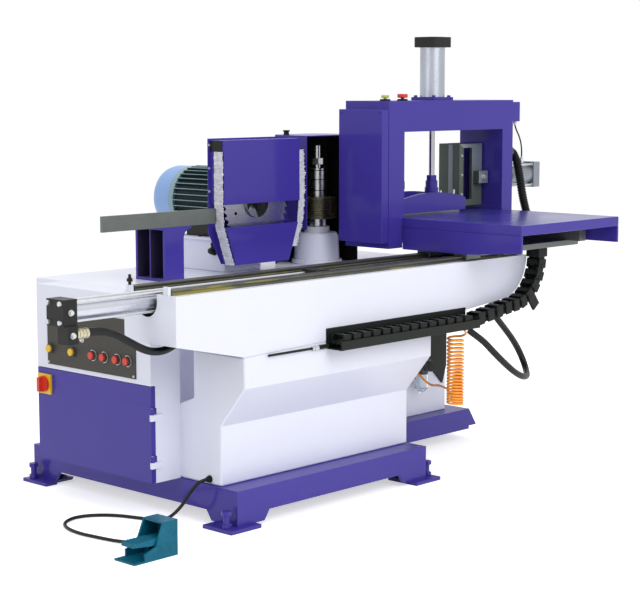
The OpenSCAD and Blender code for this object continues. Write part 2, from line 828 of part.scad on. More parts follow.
module saw_motor() {
    core_r = motor_d / 2 - 16;
    flange_t = 20;
    foot = [90, 180, 14];
    y0 = guard_y1;
    color(teal) place() difference() {
        union() {
            translate([saw_x, y0, saw_z]) rotate([-90, 0, 0]) {
                cylinder(h = flange_t, d = motor_d - 8);
                translate([0, 0, flange_t - over]) linear_extrude(motor_len - flange_t - 22) fin_plan(core_r);
                translate([0, 0, motor_len - 24]) cylinder(h = 24, d = motor_d - 8);
            }
            for (side = [-1, 1])
                block([saw_x + side * 60 - 30, y0 + 60, motor_foot_z],
                      [saw_x + side * 60 + 30, y0 + 60 + foot.y, saw_z - core_r * 0.6]);
            translate([saw_x - 11, y0 + 49, saw_z + core_r - 3]) cube([22, 22, 22]);
            bar_x([saw_x - 5, y0 + 60, saw_z + core_r + 34], 10, 43);
        }
        bar_x([saw_x - 12, y0 + 60, saw_z + core_r + 34], 24, 25);
        bar_y([saw_x, y0 - over, saw_z], motor_len + 2 * over, arbor_d + 2 * fit);
    }
}

module fan_cover() {
    r = motor_d / 2 - 4;
    wall = 3;
    slots = 24;
    color([0.45, 0.62, 0.85]) place() translate([saw_x, motor_y1, saw_z]) rotate([-90, 0, 0]) difference() {
        rotate_extrude() polygon([
            [r - wall, 0], [r, 0], [r, cover_len - 46], [r - 6, cover_len - 24], [r - 20, cover_len - 8],
            [r - 40, cover_len], [0, cover_len], [0, cover_len - wall], [r - 41, cover_len - wall],
            [r - 22, cover_len - 11], [r - wall - 6, cover_len - 25], [r - wall, cover_len - 47]
        ]);
        for (i = [0 : slots - 1]) rotate(360 * i / slots)
            translate([r * 0.32, -3, cover_len - 2 * wall]) cube([r * 0.4, 6, 3 * wall]);
    }
}

module saw_arbor() {
    flange_d = 110;
    flange_t = 9;
    y_nose = saw_y - flange_t - 26;
    fan_y = motor_y1 + 26;
    color(steel) place() translate([saw_x, 0, saw_z]) {
        bar_y([0, y_nose, 0], fan_y + 20 - y_nose, arbor_d);
        bar_y([0, saw_y - flange_t, 0], flange_t, flange_d);
        bar_y([0, saw_y + saw_t, 0], flange_t, flange_d);
        translate([0, y_nose + 6, 0]) rotate([-90, 0, 0]) cylinder(h = 20, d = 50, $fn = 6);
        bar_y([0, fan_y, 0], 5, motor_d - 50);
        for (a = [0 : 45 : 315]) rotate([0, a, 0])
            translate([24, fan_y, -1.5]) cube([motor_d / 2 - 54, 18, 3]);
    }
}

// Saw tooth outline with a raked face, a gullet and a falling back
function tooth(i) =
    let (step = 360 / saw_teeth, r = saw_d / 2, a = i * step)
    [for (p = [[r, 0], [r - 3, step * 0.28], [r - 11, step * 0.62],
                   [r - 13, step * 0.86], [r - 9, step * 0.98]])
        p.x * [cos(a + p.y), sin(a + p.y)]];

module saw_blade() {
    color([0.75, 0.76, 0.78]) place() translate([saw_x, saw_y + saw_t, saw_z]) rotate([90, 0, 0])
        linear_extrude(saw_t) difference() {
            polygon([for (i = [0 : saw_teeth - 1]) each tooth(i)]);
            circle(d = arbor_d + 2 * fit);
            for (a = [0 : 90 : 270]) rotate(a + 20) translate([saw_d * 0.33, 0]) circle(d = 12);
        }
}

module saw_guard() {
    funnel_in = 55;
    z0 = table_h - 148;
    x0 = guard_x0;
    x1 = guard_x1;
    t = guard_sheet;
    color(purple) place() difference() {
        union() {
            // upper and lower front plates
            block([x0, guard_y0, gap_z1], [x1, guard_y0 + t, guard_top]);
            sweep_y(guard_y0, t) polygon([
                [x0 + 8, gap_z0], [x1 - 8, gap_z0], [x1 - funnel_in, z0], [x0 + funnel_in, z0]]);
            // side walls, open at the gap's height before the blade
            for (x = [x0, x1 - t]) block([x, guard_y0, gap_z1], [x + t, guard_y1 - t, guard_top]);
            for (side = [0, 1]) sweep_y(guard_y0, guard_depth - t) polygon(side == 0
                ? [[x0 + 8, gap_z0], [x0 + 8 + t, gap_z0], [x0 + funnel_in + t, z0], [x0 + funnel_in, z0]]
                : [[x1 - 8, gap_z0], [x1 - 8 - t, gap_z0], [x1 - funnel_in - t, z0], [x1 - funnel_in, z0]]);
            block([x0, guard_y0, guard_top - t], [x1, guard_y1, guard_top]);
            // back plate that bolts to the motor's flange
            sweep_y(guard_y1 - t, t) polygon([
                [x0 - 12, guard_top + 6], [x1 + 12, guard_top + 6], [x1 + 12, gap_z0 - 20],
                [x1 - funnel_in + 6, z0], [x0 + funnel_in - 6, z0], [x0 - 12, gap_z0 - 20]
            ]);
        }
        bar_y([saw_x, guard_y1 - 2 * t, saw_z], 3 * t, arbor_d + 16);
    }
}

module spindle_housing() {
    neck_d = 96;
    color(white) place() translate([spindle_x, spindle_y, rear_top]) difference() {
        union() {
            rotate_extrude($fn = 72) polygon([
                [0, 0], [housing_d / 2, 0], [housing_d / 2, 14], [housing_d / 2 - 9, 16],
                [housing_d / 2 - 14, housing_h - 12], [housing_d / 2 - 22, housing_h],
                [neck_d / 2, housing_h],
                [neck_d / 2, housing_h + 22], [0, housing_h + 22]
            ]);
        }
        translate([0, 0, -over]) cylinder(h = housing_h + 60, d = spindle_d + 2 * fit);
    }
}

module spindle_shaft() {
    collar_z = rear_top + housing_h + 22 + gap;
    neck = 30;
    color(steel) place() translate([spindle_x, spindle_y, 0]) {
        translate([0, 0, belt_z - 10]) cylinder(h = cutter_z + cutter_h + 110 - belt_z, d = spindle_d);
        translate([0, 0, belt_z]) cylinder(h = belt_w, d = spindle_pulley_d);
        translate([0, 0, collar_z]) cylinder(h = cutter_z - collar_z, d = spindle_d + 34);
        translate([0, 0, cutter_z + cutter_h]) cylinder(h = 106, d = spindle_d + 20);
        translate([0, 0, cutter_z + cutter_h + 90])
            cylinder(h = shaft_top - cutter_z - cutter_h - 90, d = neck);
        translate([0, 0, cutter_z + cutter_h + 120]) cylinder(h = 24, d = neck * 1.6, $fn = 6);
    }
}

// Finger profile: alternating tips and roots up the cutter's edge
module finger_edge() {
    pitch = cutter_h / fingers;
    deep = 9;
    r = cutter_d / 2;
    polygon(concat(
        [[spindle_d / 2 + fit, 0]],
        [for (i = [0 : fingers - 1]) each [
            [r - deep, i * pitch], [r - deep, (i + 0.2) * pitch], [r, (i + 0.42) * pitch],
            [r, (i + 0.58) * pitch], [r - deep, (i + 0.8) * pitch]
        ]],
        [[r - deep, cutter_h], [spindle_d / 2 + fit, cutter_h]]));
}

module finger_cutters() {
    gullets = 4;
    color([0.55, 0.52, 0.46]) place() translate([spindle_x, spindle_y, cutter_z]) difference() {
        rotate_extrude() finger_edge();
        for (i = [0 : gullets - 1]) rotate(360 * i / gullets)
            translate([spindle_d / 2 + 14, 4, -over]) cube([cutter_d, 26, cutter_h + 2 * over]);
    }
}

// Plan of the hood: three sides with cut corners, open to the front
module hood_plan(inset) {
    x = hood_w / 2 - inset;
    y1 = 124 - inset;
    cut = 44;
    polygon([[-x, -81], [-x, y1 - cut], [cut - x, y1], [x - cut, y1], [x, y1 - cut], [x, -81]]);
}

module cutter_hood() {
    t = 4;
    color(purple) place() translate([spindle_x, spindle_y, rear_top]) difference() {
        union() {
            linear_extrude(hood_top - rear_top) hood_plan(0);
            translate([-hood_w / 2 + 40, 60, hood_top - rear_top - over]) cylinder(h = 18, d = 18);
        }
        translate([0, -over, -over]) linear_extrude(hood_top - rear_top - t + over) hood_plan(t);
    }
}

module spindle_motor() {
    z1 = belt_z - 40;
    z0 = z1 - drive_len;
    d = 190;
    color(teal) place() difference() {
        union() {
            translate([drive_x, drive_y, z0]) cylinder(h = drive_len, d = d);
            for (i = [0 : 23]) translate([drive_x, drive_y, z0 + drive_len * 0.07]) rotate(i * 15)
                translate([d / 2 - 2, -2, 0]) cube([10, 4, drive_len * 0.83]);
            block([drive_x - 80, drive_y, z0 + drive_len * 0.14],
                  [drive_x + 80, rear_y1 - sheet, z0 + drive_len * 0.8]);
        }
        translate([drive_x, drive_y, z1 - 200]) cylinder(h = 200 + over, d = drive_shaft_d + 2 * fit);
    }
}

drive_shaft_d = 28;

module motor_pulley() {
    color(steel) place() translate([drive_x, drive_y, 0]) {
        translate([0, 0, belt_z - 160]) cylinder(h = 160 + belt_w + 8, d = drive_shaft_d);
        translate([0, 0, belt_z]) cylinder(h = belt_w, d = motor_pulley_d);
        translate([0, 0, belt_z - 4]) cylinder(h = 4, d = motor_pulley_d + 6);
    }
}

// Loop round two circles with their centres on the Y axis
module loop_plan(r0, r1, span) {
    a = asin((r1 - r0) / span);
    circle(r = r0);
    translate([0, span]) circle(r = r1);
    polygon([
        r0 * [cos(a), -sin(a)], [0, span] + r1 * [cos(a), -sin(a)],
        [0, span] + r1 * [-cos(a), -sin(a)], r0 * [-cos(a), -sin(a)]
    ]);
}

module drive_belt() {
    span = drive_x - spindle_x;
    r0 = spindle_pulley_d / 2 + gap;
    r1 = motor_pulley_d / 2 + gap;
    color(black) place() translate([spindle_x, spindle_y, belt_z + 2])
            rotate(-90) linear_extrude(belt_w - 4) difference() {
        loop_plan(r0 + belt_t, r1 + belt_t, span);
        loop_plan(r0, r1, span);
    }
}

// Left ends of the two pairs of bearing blocks
function block_places() = [table_x + 34, table_x + 254];
block_len = 80;
block_w = 60;

module bearing_blocks() {
    color(steel) place() for (x = block_places()) for (side = [-1, 1]) {
        y = bed_mid + side * rail_pitch / 2;
        difference() {
            block([x, y - block_w / 2, bed_top + 3], [x + block_len, y + block_w / 2, saddle_z]);
            block([x - over, y - rail_w / 2 - gap, bed_top],
                  [x + block_len + over, y + rail_w / 2 + gap, rail_top + gap]);
        }
    }
}

module saddle() {
    x0 = table_x + apron_t + 4;
    x1 = table_x1 + 8;
    y0 = bed_mid - rail_pitch / 2 - block_w / 2;
    y1 = bed_mid + rail_pitch / 2 + block_w / 2;
    rib = 40;
    color(steel) place() difference() {
        union() {
            block([x0, y0, saddle_z], [x1, y1, saddle_top]);
            // front bar that takes the drag chain's end
            block([x0, chain_y - chain_w / 2, saddle_z], [x1, y0 + over, saddle_top]);
            for (x = [x0 + 20, x1 - 80]) block([x, y0 - 140, saddle_top], [x + rib, y1 + 160, table_z0]);
            block([lug_x, feed_y - 20, feed_z - 24], [lug_x + lug_t, feed_y + 20, saddle_z + over]);
        }
        bar_x([lug_x - over, feed_y, feed_z], lug_t + 2 * over, stud_d + 2 * fit);
    }
}

module table_top() {
    color(purple) place() block([table_x, table_y0, table_z0], [table_x1, table_y1, table_h]);
}

module table_aprons() {
    low_front = table_z0 - 60;
    low_back = rail_top + 10;
    color(purple) place() {
        sweep_x(table_x, apron_t) polygon([
            [table_y0, table_z0], [table_y0, low_front], [bed_y0, low_back],
            [portal_y0, low_back], [portal_y0, table_z0]
        ]);
        sweep_x(table_x1 - apron_t, apron_t) polygon([
            [table_y0, table_z0], [table_y0, saddle_top + gap],
            [portal_y0, saddle_top + gap], [portal_y0, table_z0]
        ]);
    }
}

// Front view of the portal, drawn in by an inset
module portal_outline(inset) {
    foot = rail_top + 16;
    drop = inset > 0 ? over : 0;
    polygon([
        [portal_x0 + inset, foot - drop], [portal_x0 + inset, portal_top - inset],
        [portal_x1 - inset, portal_top - inset], [portal_x1 - inset, foot - drop],
        [table_x1 + inset, foot - drop], [table_x1 + inset, table_h + inset],
        [open_x1 + inset, table_h + inset], [open_x1 + inset, open_top + inset],
        [open_x0 - inset, open_top + inset], [open_x0 - inset, table_h + inset],
        [table_x - inset, table_h + inset], [table_x - inset, foot - drop]
    ]);
}

module portal() {
    t = 6;
    color(purple) place() difference() {
        sweep_y(portal_y0, portal_depth) portal_outline(0);
        sweep_y(portal_y0 + t, portal_depth - 2 * t) portal_outline(t);
        translate([clamp_x, clamp_y, open_top - over]) cylinder(h = portal_top, d = clamp_rod_d + 6);
        bar_x([open_x1 - over, side_y, side_axis_z], portal_right + 2 * over, clamp_rod_d + 6);
        for (x = portal_buttons()) translate([x, portal_button_y, open_top + 2 * t])
            cylinder(h = portal_top, d = stem_d + 2 * fit);
    }
}

function portal_buttons() = [portal_x0 + 41, portal_x0 + 137];
portal_button_y = portal_y0 + 55;

module junction_boxes() {
    side_box_w = 37;
    end_box = [59, 110, 76];
    color(purple) place() {
        block([portal_x0 - side_box_w, portal_y0 + 1, table_h - 87], [portal_x0, portal_y1, portal_top - 30]);
        block([portal_x1, portal_y0 + 10, portal_top - 8 - end_box.z],
              [portal_x1 + end_box.x, portal_y0 + end_box.y, portal_top - 8]);
        for (x = portal_buttons()) translate([x, portal_button_y, portal_top]) difference() {
            cylinder(h = 6, d = bezel_d);
            translate([0, 0, -over]) cylinder(h = 6 + 2 * over, d = stem_d + 2 * fit);
        }
    }
}

module portal_button(x, cap_d, cap_t) {
    base = portal_top + 6 + button_travel + 0.8;
    translate([x, portal_button_y, base]) {
        cylinder(h = cap_t, d = cap_d);
        translate([0, 0, -40]) cylinder(h = 41, d = stem_d);
    }
}

module start_button() { color([0.35, 0.65, 0.2]) place() portal_button(portal_buttons()[0], 28, 10); }
module stop_button() { color(red) place() portal_button(portal_buttons()[1], 38, 14); }

clamp_flange_t = 12;

module clamp_tube() {
    z0 = portal_top + clamp_flange_t;
    bore = clamp_d - 12;
    color([0.78, 0.79, 0.80]) place() translate([clamp_x, clamp_y, 0]) difference() {
        union() {
            translate([-56, -56, portal_top]) cube([112, 112, clamp_flange_t]);
            translate([0, 0, z0]) cylinder(h = clamp_len, d = clamp_d);
        }
        translate([0, 0, z0]) cylinder(h = clamp_len + over, d = bore);
        translate([0, 0, portal_top - over])
            cylinder(h = clamp_flange_t + 2 * over, d = clamp_rod_d + 2 * fit);
    }
}

module clamp_cap() {
    z = portal_top + clamp_flange_t + clamp_len;
    cap_h = 38;
    lobe = 40;
    color(black) place() translate([clamp_x, clamp_y, z]) {
        intersection() {
            cylinder(h = cap_h, d = 136);
            translate([-56, -56, 0]) cube([112, 112, cap_h]);
        }
        for (a = [0 : 90 : 270]) rotate(a + 45) translate([58, 0, 0]) cylinder(h = cap_h - 6, d = lobe * 0.5);
    }
}

press_z = table_h + press_gap;
boss_z = press_z + 46;
boss_h = 40;

module clamp_rod() {
    z0 = portal_top + clamp_flange_t;
    piston_t = 22;
    color(steel) place() translate([clamp_x, clamp_y, 0]) {
        translate([0, 0, boss_z]) cylinder(h = z0 + 6 - boss_z, d = clamp_rod_d);
        translate([0, 0, z0 + 2]) cylinder(h = piston_t, d = clamp_d - 12 - 2 * fit);
    }
}

module press_plate() {
    x0 = open_x0 + 6;
    x1 = x0 + press_len;
    y0 = clamp_y - press_w / 2;
    rib_t = 10;
    plate_t = 12;
    rib_h = 46;
    crown = 26;
    arc_r = (press_len * press_len / 4 + crown * crown) / (2 * crown);
    color(purple) place() difference() {
        union() {
            block([x0, y0, press_z], [x1, y0 + press_w, press_z + plate_t]);
            for (y = [y0, y0 + press_w - rib_t]) sweep_y(y, rib_t) intersection() {
                translate([x0, press_z]) square([press_len, rib_h + crown]);
                translate([x0 + press_len / 2, press_z + rib_h + crown - arc_r]) circle(r = arc_r, $fn = 180);
            }
            translate([clamp_x, clamp_y, press_z]) cylinder(h = boss_z + boss_h - press_z, d = 52);
        }
        translate([clamp_x, clamp_y, boss_z]) cylinder(h = boss_h + over, d = clamp_rod_d + 2 * fit);
    }
}

module side_cylinder() {
    bore = side_d - 12;
    cap_t = 40;
    color([0.70, 0.71, 0.73]) place() difference() {
        union() {
            bar_x([portal_x1, side_y, side_axis_z], side_len, side_d);
            for (x = [portal_x1, side_x1 - cap_t])
                block([x, side_y - 50, side_axis_z - 50], [x + cap_t, side_y + 50, side_axis_z + 50]);
            translate([portal_x1 + 81, side_y, side_axis_z + side_d / 2 - over]) cylinder(h = 11, d = 24);
        }
        bar_x([portal_x1 + 12, side_y, side_axis_z], side_len - 24, bore);
        bar_x([portal_x1 - over, side_y, side_axis_z], 20, clamp_rod_d + 2 * fit);
    }
}

side_forward = 20;

module side_pusher() {
    face_x = open_x1 - 148;
    w = 140;
    y0 = portal_y0 + 92;
    depth = 102;
    z0 = table_h + 15;
    high = 238;
    piston_x = portal_x1 + 12 + side_forward + 6;
    color([0.45, 0.46, 0.42]) place() {
        block([face_x, y0, z0], [face_x + 14, y0 + depth, z0 + high]);
        block([face_x, y0 + depth - 14, z0], [face_x + w, y0 + depth, z0 + high]);
        block([face_x, y0, z0], [face_x + w, y0 + depth, z0 + 14]);
        // front plate with an upright slot
        difference() {
            block([face_x, y0, z0], [face_x + w, y0 + 14, z0 + high]);
            block([face_x + 26, y0 - over, z0 + 24], [face_x + 78, y0 + 14 + over, z0 + high - 16]);
        }
        // eye that holds the rod's end
        block([face_x + 84, side_y - 20, side_axis_z - 24], [face_x + w, y0 + over, side_axis_z + 24]);
        bar_x([face_x + 90, side_y, side_axis_z], piston_x - face_x - 80, clamp_rod_d);
        bar_x([piston_x, side_y, side_axis_z], 20, side_d - 12 - 2 * fit);
    }
}

module portal_conduit() {
    path = smooth(conduit_route, 5);
    n = len(path);
    rib = 3;
    color(black) place() {
        tube(path, [for (i = [0 : n - 1]) conduit_d / 2 - (i % 2 == 0 ? 0 : rib)], 8);
        even_tube(smooth(box_wire_route, 3), 6, 8);
    }
}

module cable_tray() {
    t = 4;
    high = 66;
    z0 = chain_z - chain_t / 2 - t - gap;
    y0 = bed_y0 - chain_w - 2 * t - 4;
    color(black) place() {
        block([tray_x0, y0, z0], [tray_x1, bed_y0, z0 + t]);
        block([tray_x0, y0, z0], [tray_x1, y0 + t, z0 + high * 0.45]);
        block([tray_x0, bed_y0 - t, z0], [tray_x1, bed_y0, z0 + high]);
        bar_x([tray_x0 - 268, bed_y0 - 8, z0 + 10], 268, 8);
        bar_x([tray_x0 - 40, bed_y0 - 8, z0 + 10], 40, 15);
    }
}

// Side view of the chain's band: along the tray, up to the nose, round it and up to the table
module chain_band(half) {
    arc_steps = 12;
    function arc(r) =
        [for (i = [0 : arc_steps]) let (a = 90 * i / arc_steps) [nose_x + r * sin(a), bed_top - r * cos(a)]];
    start = tray_x0 + 16;
    polygon(concat(
        [[start, chain_z - half], [tray_x1, chain_z - half]], arc(chain_r + half),
        [[nose_x + chain_r + half, chain_end_z], [nose_x + chain_r - half, chain_end_z]],
        [for (i = [arc_steps : -1 : 0]) arc(chain_r - half)[i]],
        [[tray_x1, chain_z + half], [start, chain_z + half]]));
}

// Side view of the whole chain: its band, its links and the block at its upper end
module chain_side() {
    pitch = 48;
    link = [43, chain_t];
    bend_link = [34, chain_t];
    bend = 15;
    start = tray_x0 + 16;
    links = floor((tray_x1 - start) / pitch);
    climb = nose_x - tray_x1;
    climb_links = floor(climb / pitch);
    chain_band(chain_t / 2 - 4);
    for (i = [0 : links - 1]) translate([start + (i + 0.5) * pitch, chain_z]) square(link, center = true);
    for (i = [0 : climb_links - 1]) let (t = (i + 0.5) / climb_links)
        translate([tray_x1 + t * climb, chain_z + t * chain_low]) rotate(atan(chain_low / climb))
            square(link, center = true);
    for (a = [bend / 2 : bend : 90])
        translate([nose_x, bed_top]) rotate(a) translate([0, -chain_r]) square(bend_link, center = true);
    translate([nose_x + chain_r - chain_t / 2 - 6, chain_end_z - 24])
        square([chain_t + 12, saddle_z - gap - chain_end_z + 24]);
}

module drag_chain() {
    y0 = chain_y - chain_w / 2;
    color(black) place() {
        sweep_y(y0, chain_w) chain_side();
        // tab on the outside of the bend
        sweep_y(y0 + 8, 10) translate([nose_x, bed_top]) rotate(38)
            translate([-20, -chain_r - chain_t / 2 - 46]) square([40, 60]);
    }
}

// Helix of the air hose with straight ends, top end under the tray
coil_r = (coil_d - air_d) / 2;
coil_top = chain_z - chain_t / 2 - 4 - gap;
coil_z0 = coil_top - 262;
coil_lead = 26;
coil_len = coil_top - coil_lead - coil_z0;
// The coil's own weight opens its upper curls; the share of the fall after a share of the curls
function coil_fall(t) = t * (1.2 - 0.2 * t);
coil_path = concat(
    [[coil_x + coil_r, coil_y - 24, coil_top], [coil_x + coil_r, coil_y - 24, coil_top - 8],
     [coil_x + coil_r, coil_y - 20, coil_top - 18]],
    [for (i = [0 : 8 * coil_turns])
        [coil_x + coil_r * cos(45 * i), coil_y + coil_r * sin(45 * i),
         coil_top - coil_lead - coil_len * coil_fall(i / 8 / coil_turns)]],
    [for (p = [[coil_x + coil_r + 6, coil_y + 30, coil_z0 - 6], [coil_x + 74, coil_y + 70, coil_z0 - 4],
               [coil_x + 132, coil_y + 125, coil_z0], [coil_x + 180, coil_y + 180, coil_z0 + 6],
               [coil_x + 215, coil_y + 245, coil_z0 + 6], [air_x - 56, air_y - 90, air_z - 56],
               [air_x - 60, air_y - 40, air_z - 26], [air_x - 54, air_y - 8, air_z - 4],
               [air_x - 44, air_y, air_z],
               [air_x - 35, air_y, air_z], [air_x - 26, air_y, air_z]]) p]);
coil_gap = min([for (i = [0 : len(coil_path) - 7]) for (j = [i + 6 : len(coil_path) - 1])
    norm(coil_path[i] - coil_path[j])]) - air_d;
echo(coil_gap = coil_gap);

module coil_hose() {
    color([0.95, 0.45, 0.10]) place() even_tube(coil_path, air_d, 6);
}

bowl_d = 50;

module air_unit() {
    half = 26;
    color([0.25, 0.26, 0.28]) place() difference() {
        union() {
            block([air_x - half, air_y - half, air_z - 22], [air_x + half, air_y + half, air_z + 22]);
            block([air_x - 16, air_y, air_z - 14], [air_x + 16, pedestal_back, air_z + 14]);
            translate([air_x, air_y, air_z + 22]) cylinder(h = 34, d = 40);
            bar_y([air_x, air_y - half - 22, air_z], 24, 40);
        }
        translate([air_x, air_y, air_z - 22 - over]) cylinder(h = 10 + over, d = 36);
    }
}

module air_bowl() {
    wall = 3;
    deep = 78;
    color([0.85, 0.9, 0.95]) place() translate([air_x, air_y, air_z - 22]) rotate([180, 0, 0])
        rotate_extrude() polygon([
            [bowl_d / 2 - wall, 0], [bowl_d / 2, 0], [bowl_d / 2, deep - 14], [bowl_d / 2 - 12, deep],
            [6, deep],
            [6, deep + 10], [0, deep + 10], [0, deep - wall],
            [bowl_d / 2 - 13, deep - wall], [bowl_d / 2 - wall, deep - 16]
        ]);
}

pedal_pin_d = 10;
cheek_t = 6;

module pedal_base() {
    house_x = pedal_x1 - 56;
    color(teal) place() difference() {
        union() {
            block([pedal_x0, pedal_y0, 0], [pedal_x1, pedal_y1, cheek_t]);
            for (y = [pedal_y0, pedal_y1 - cheek_t]) sweep_y(y, cheek_t) polygon([
                [pedal_x0 + 40, 0], [pedal_x1, 0], [pedal_x1, pedal_h], [house_x, pedal_h],
                [house_x - 30, 40], [pedal_x0 + 40, 26]
            ]);
            sweep_y(pedal_y0, pedal_w) polygon([
                [pedal_x1 - cheek_t, 0], [pedal_x1, 0], [pedal_x1, pedal_h], [house_x, pedal_h],
                [house_x, pedal_h - cheek_t], [pedal_x1 - cheek_t, pedal_h - cheek_t]
            ]);
            block([pedal_x1 - 56, pedal_y1 - 24, cheek_t - over], [pedal_x1 - 24, pedal_y1, cheek_t + 40]);
            bar_y([pedal_pin_x, pedal_y0, pedal_pin_z], pedal_w, pedal_pin_d);
        }
    }
}

module pedal_treadle() {
    w = pedal_w - 2 * cheek_t - 2 * gap - 1;
    y0 = pedal_y0 + (pedal_w - w) / 2;
    plate_t = 7;
    rise = 14;
    house_h = 24;
    color(teal) place() difference() {
        union() {
            sweep_y(y0, w - 24) polygon([
                [pedal_x0 + 2, pedal_pin_z - 14 + rise], [pedal_pin_x, pedal_pin_z - 12],
                [pedal_pin_x, pedal_pin_z + 12], [pedal_x0 + 2, pedal_pin_z - 14 + rise + plate_t + 6]
            ]);
            bar_y([pedal_pin_x, y0, pedal_pin_z], w - 24, house_h);
            for (i = [0 : 6])
                bar_y([pedal_x0 + 12 + i * 12, y0, pedal_pin_z - 14 + rise + plate_t + 6], w - 24, 3);
        }
        bar_y([pedal_pin_x, y0 - over, pedal_pin_z], w + 2 * over, pedal_pin_d + 2 * fit);
    }
}

module pedal_cable() {
    color(black) place() even_tube(smooth(pedal_route, 3), pedal_cable_d, 8);
}

base_frame();
levelling_bolts();
pedestal();
bed();
guide_rails();
rear_body();
electrical_cabinet();
cabinet_door();
switch_base();
switch_knob();
control_panel();
button_1();
button_2();
button_3();
button_4();
button_5();
button_6();
feed_barrel();
feed_ends();
feed_tie_rods();
feed_rod();
hydraulic_hoses();
outfeed_bar();
outfeed_bracket();
saw_base();
saw_motor();
fan_cover();
saw_arbor();
saw_blade();
saw_guard();
spindle_housing();
spindle_shaft();
finger_cutters();
cutter_hood();
spindle_motor();
motor_pulley();
drive_belt();
bearing_blocks();
saddle();
table_top();
table_aprons();
portal();
junction_boxes();
clamp_tube();
clamp_cap();
clamp_rod();
press_plate();
side_cylinder();
side_pusher();
portal_conduit();
start_button();
stop_button();
cable_tray();
drag_chain();
coil_hose();
air_unit();
air_bowl();
pedal_base();
pedal_treadle();
pedal_cable();
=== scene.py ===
"""Looks of a tenoning machine: finishes, fittings, hoses, drag chain, light and camera round its solids.

Lengths are millimetres from the base's front left corner until a helper turns them into the frame's metres.
"""

from __future__ import annotations

import json
import logging
import math
import random
from dataclasses import dataclass
from enum import Enum
from typing import Callable, Iterable, Optional, Sequence

import bmesh
import bpy
from mathutils import Matrix, Vector

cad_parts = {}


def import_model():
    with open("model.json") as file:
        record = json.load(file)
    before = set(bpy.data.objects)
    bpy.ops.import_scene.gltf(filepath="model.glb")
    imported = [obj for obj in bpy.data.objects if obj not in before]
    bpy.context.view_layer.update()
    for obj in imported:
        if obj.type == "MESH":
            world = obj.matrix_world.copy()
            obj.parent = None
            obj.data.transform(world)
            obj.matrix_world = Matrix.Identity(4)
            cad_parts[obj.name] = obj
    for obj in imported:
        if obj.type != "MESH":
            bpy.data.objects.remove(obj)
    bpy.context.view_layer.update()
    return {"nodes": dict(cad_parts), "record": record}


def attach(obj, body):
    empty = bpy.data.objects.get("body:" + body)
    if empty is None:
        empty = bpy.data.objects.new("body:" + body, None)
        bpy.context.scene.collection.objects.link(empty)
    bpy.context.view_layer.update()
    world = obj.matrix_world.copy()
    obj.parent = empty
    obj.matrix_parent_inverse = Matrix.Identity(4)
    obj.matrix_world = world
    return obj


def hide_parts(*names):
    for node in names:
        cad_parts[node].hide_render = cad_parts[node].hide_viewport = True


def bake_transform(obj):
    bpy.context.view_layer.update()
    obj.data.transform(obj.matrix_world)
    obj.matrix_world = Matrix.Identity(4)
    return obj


log = logging.getLogger("tenoner")
Piece = bpy.types.Object
Material = bpy.types.Material
Node = bpy.types.Node
Socket = bpy.types.NodeSocket
Tree = bpy.types.NodeTree
Triple = tuple[float, float, float]
Steps = Sequence[tuple[float, float, int]]
FaceTest = Callable[[Vector, Vector], bool]
DATUM = Vector((673.5, 379.5, 0.0))
LEFT, RIGHT = (-1, 0, 0), (1, 0, 0)
FRONT, BACK = (0, -1, 0), (0, 1, 0)
DOWN, UP = (0, 0, -1), (0, 0, 1)
BEVEL_ANGLE = math.radians(40)
SMOOTH_ANGLE = math.radians(35)
FLAT_ANGLE = math.radians(1)
MERGE_DISTANCE = 0.00001
# Height and width as shares of the thread or hose, and corners: a bolt's washer, head and crown,
# a hose fitting's nut and neck, and one ring of its crimped sleeve with the groove after it.
BOLT = ((0.16, 2.1, 20), (0.62, 1.75, 6), (0.1, 1.4, 18))
HOSE_NUT = ((0.5, 1.55, 6), (0.12, 1.15, 24))
HOSE_SLEEVE = ((0.4, 1.3, 24), (0.08, 1.18, 24))
# Range that the sum of two noises mostly keeps to.
NOISE_RANGE = (0.7, 1.3)
BODY_OF: dict[str, str] = {}
NODES: dict[str, Piece] = {}
BUILT: dict[str, Material] = {}


def at(x: float, y: float, z: float) -> Vector:
    """Place in the frame, in metres, of a point given in millimetres from the base corner."""
    return (Vector((x, y, z)) - DATUM) / 1000


def moved(x: float = 0, y: float = 0, z: float = 0) -> Matrix:
    """Move by millimetres, as a matrix in metres."""
    return Matrix.Translation(Vector((x, y, z)) / 1000)


def turned(home: Vector, place: Vector, angle: float, axis: str) -> Matrix:
    """Move from one place to another with a turn there.

    Args:
        home: place that moves, in frame metres.
        place: where it goes.
        angle: turn in radians.
        axis: letter of the axis that it turns about.
    Returns:
        The move.
    """
    return Matrix.Translation(place) @ Matrix.Rotation(angle, 4, axis) @ Matrix.Translation(-home)


def linear(hex_colour: str) -> tuple[float, float, float, float]:
    """Turns an sRGB hex colour into a linear RGBA.

    Args:
        hex_colour: colour as RRGGBB.
    Returns:
        Linear red, green and blue, with alpha 1.
    """
    parts = [int(hex_colour[i:i + 2], 16) / 255 for i in (0, 2, 4)]
    return (*[c / 12.92 if c <= 0.04045 else ((c + 0.055) / 1.055) ** 2.4 for c in parts], 1.0)


def add(tree: Tree, kind: str, inputs: Optional[dict] = None, **settings) -> Node:
    """Adds a node with its settings, and links or sets its sockets.

    Args:
        tree: node tree that gets the node.
        kind: Blender's node type after its prefix.
        inputs: socket name or number to a value, or to a node or output socket that is linked.
        settings: attributes of the node.
    Returns:
        The new node.
    """
    node = tree.nodes.new("ShaderNode" + kind)
    for key, value in settings.items():
        setattr(node, key, value)
    for key, value in (inputs or {}).items():
        if isinstance(value, Node):
            value = value.outputs[0]
        if isinstance(value, Socket):
            tree.links.new(value, node.inputs[key])
        else:
            node.inputs[key].default_value = value
    return node


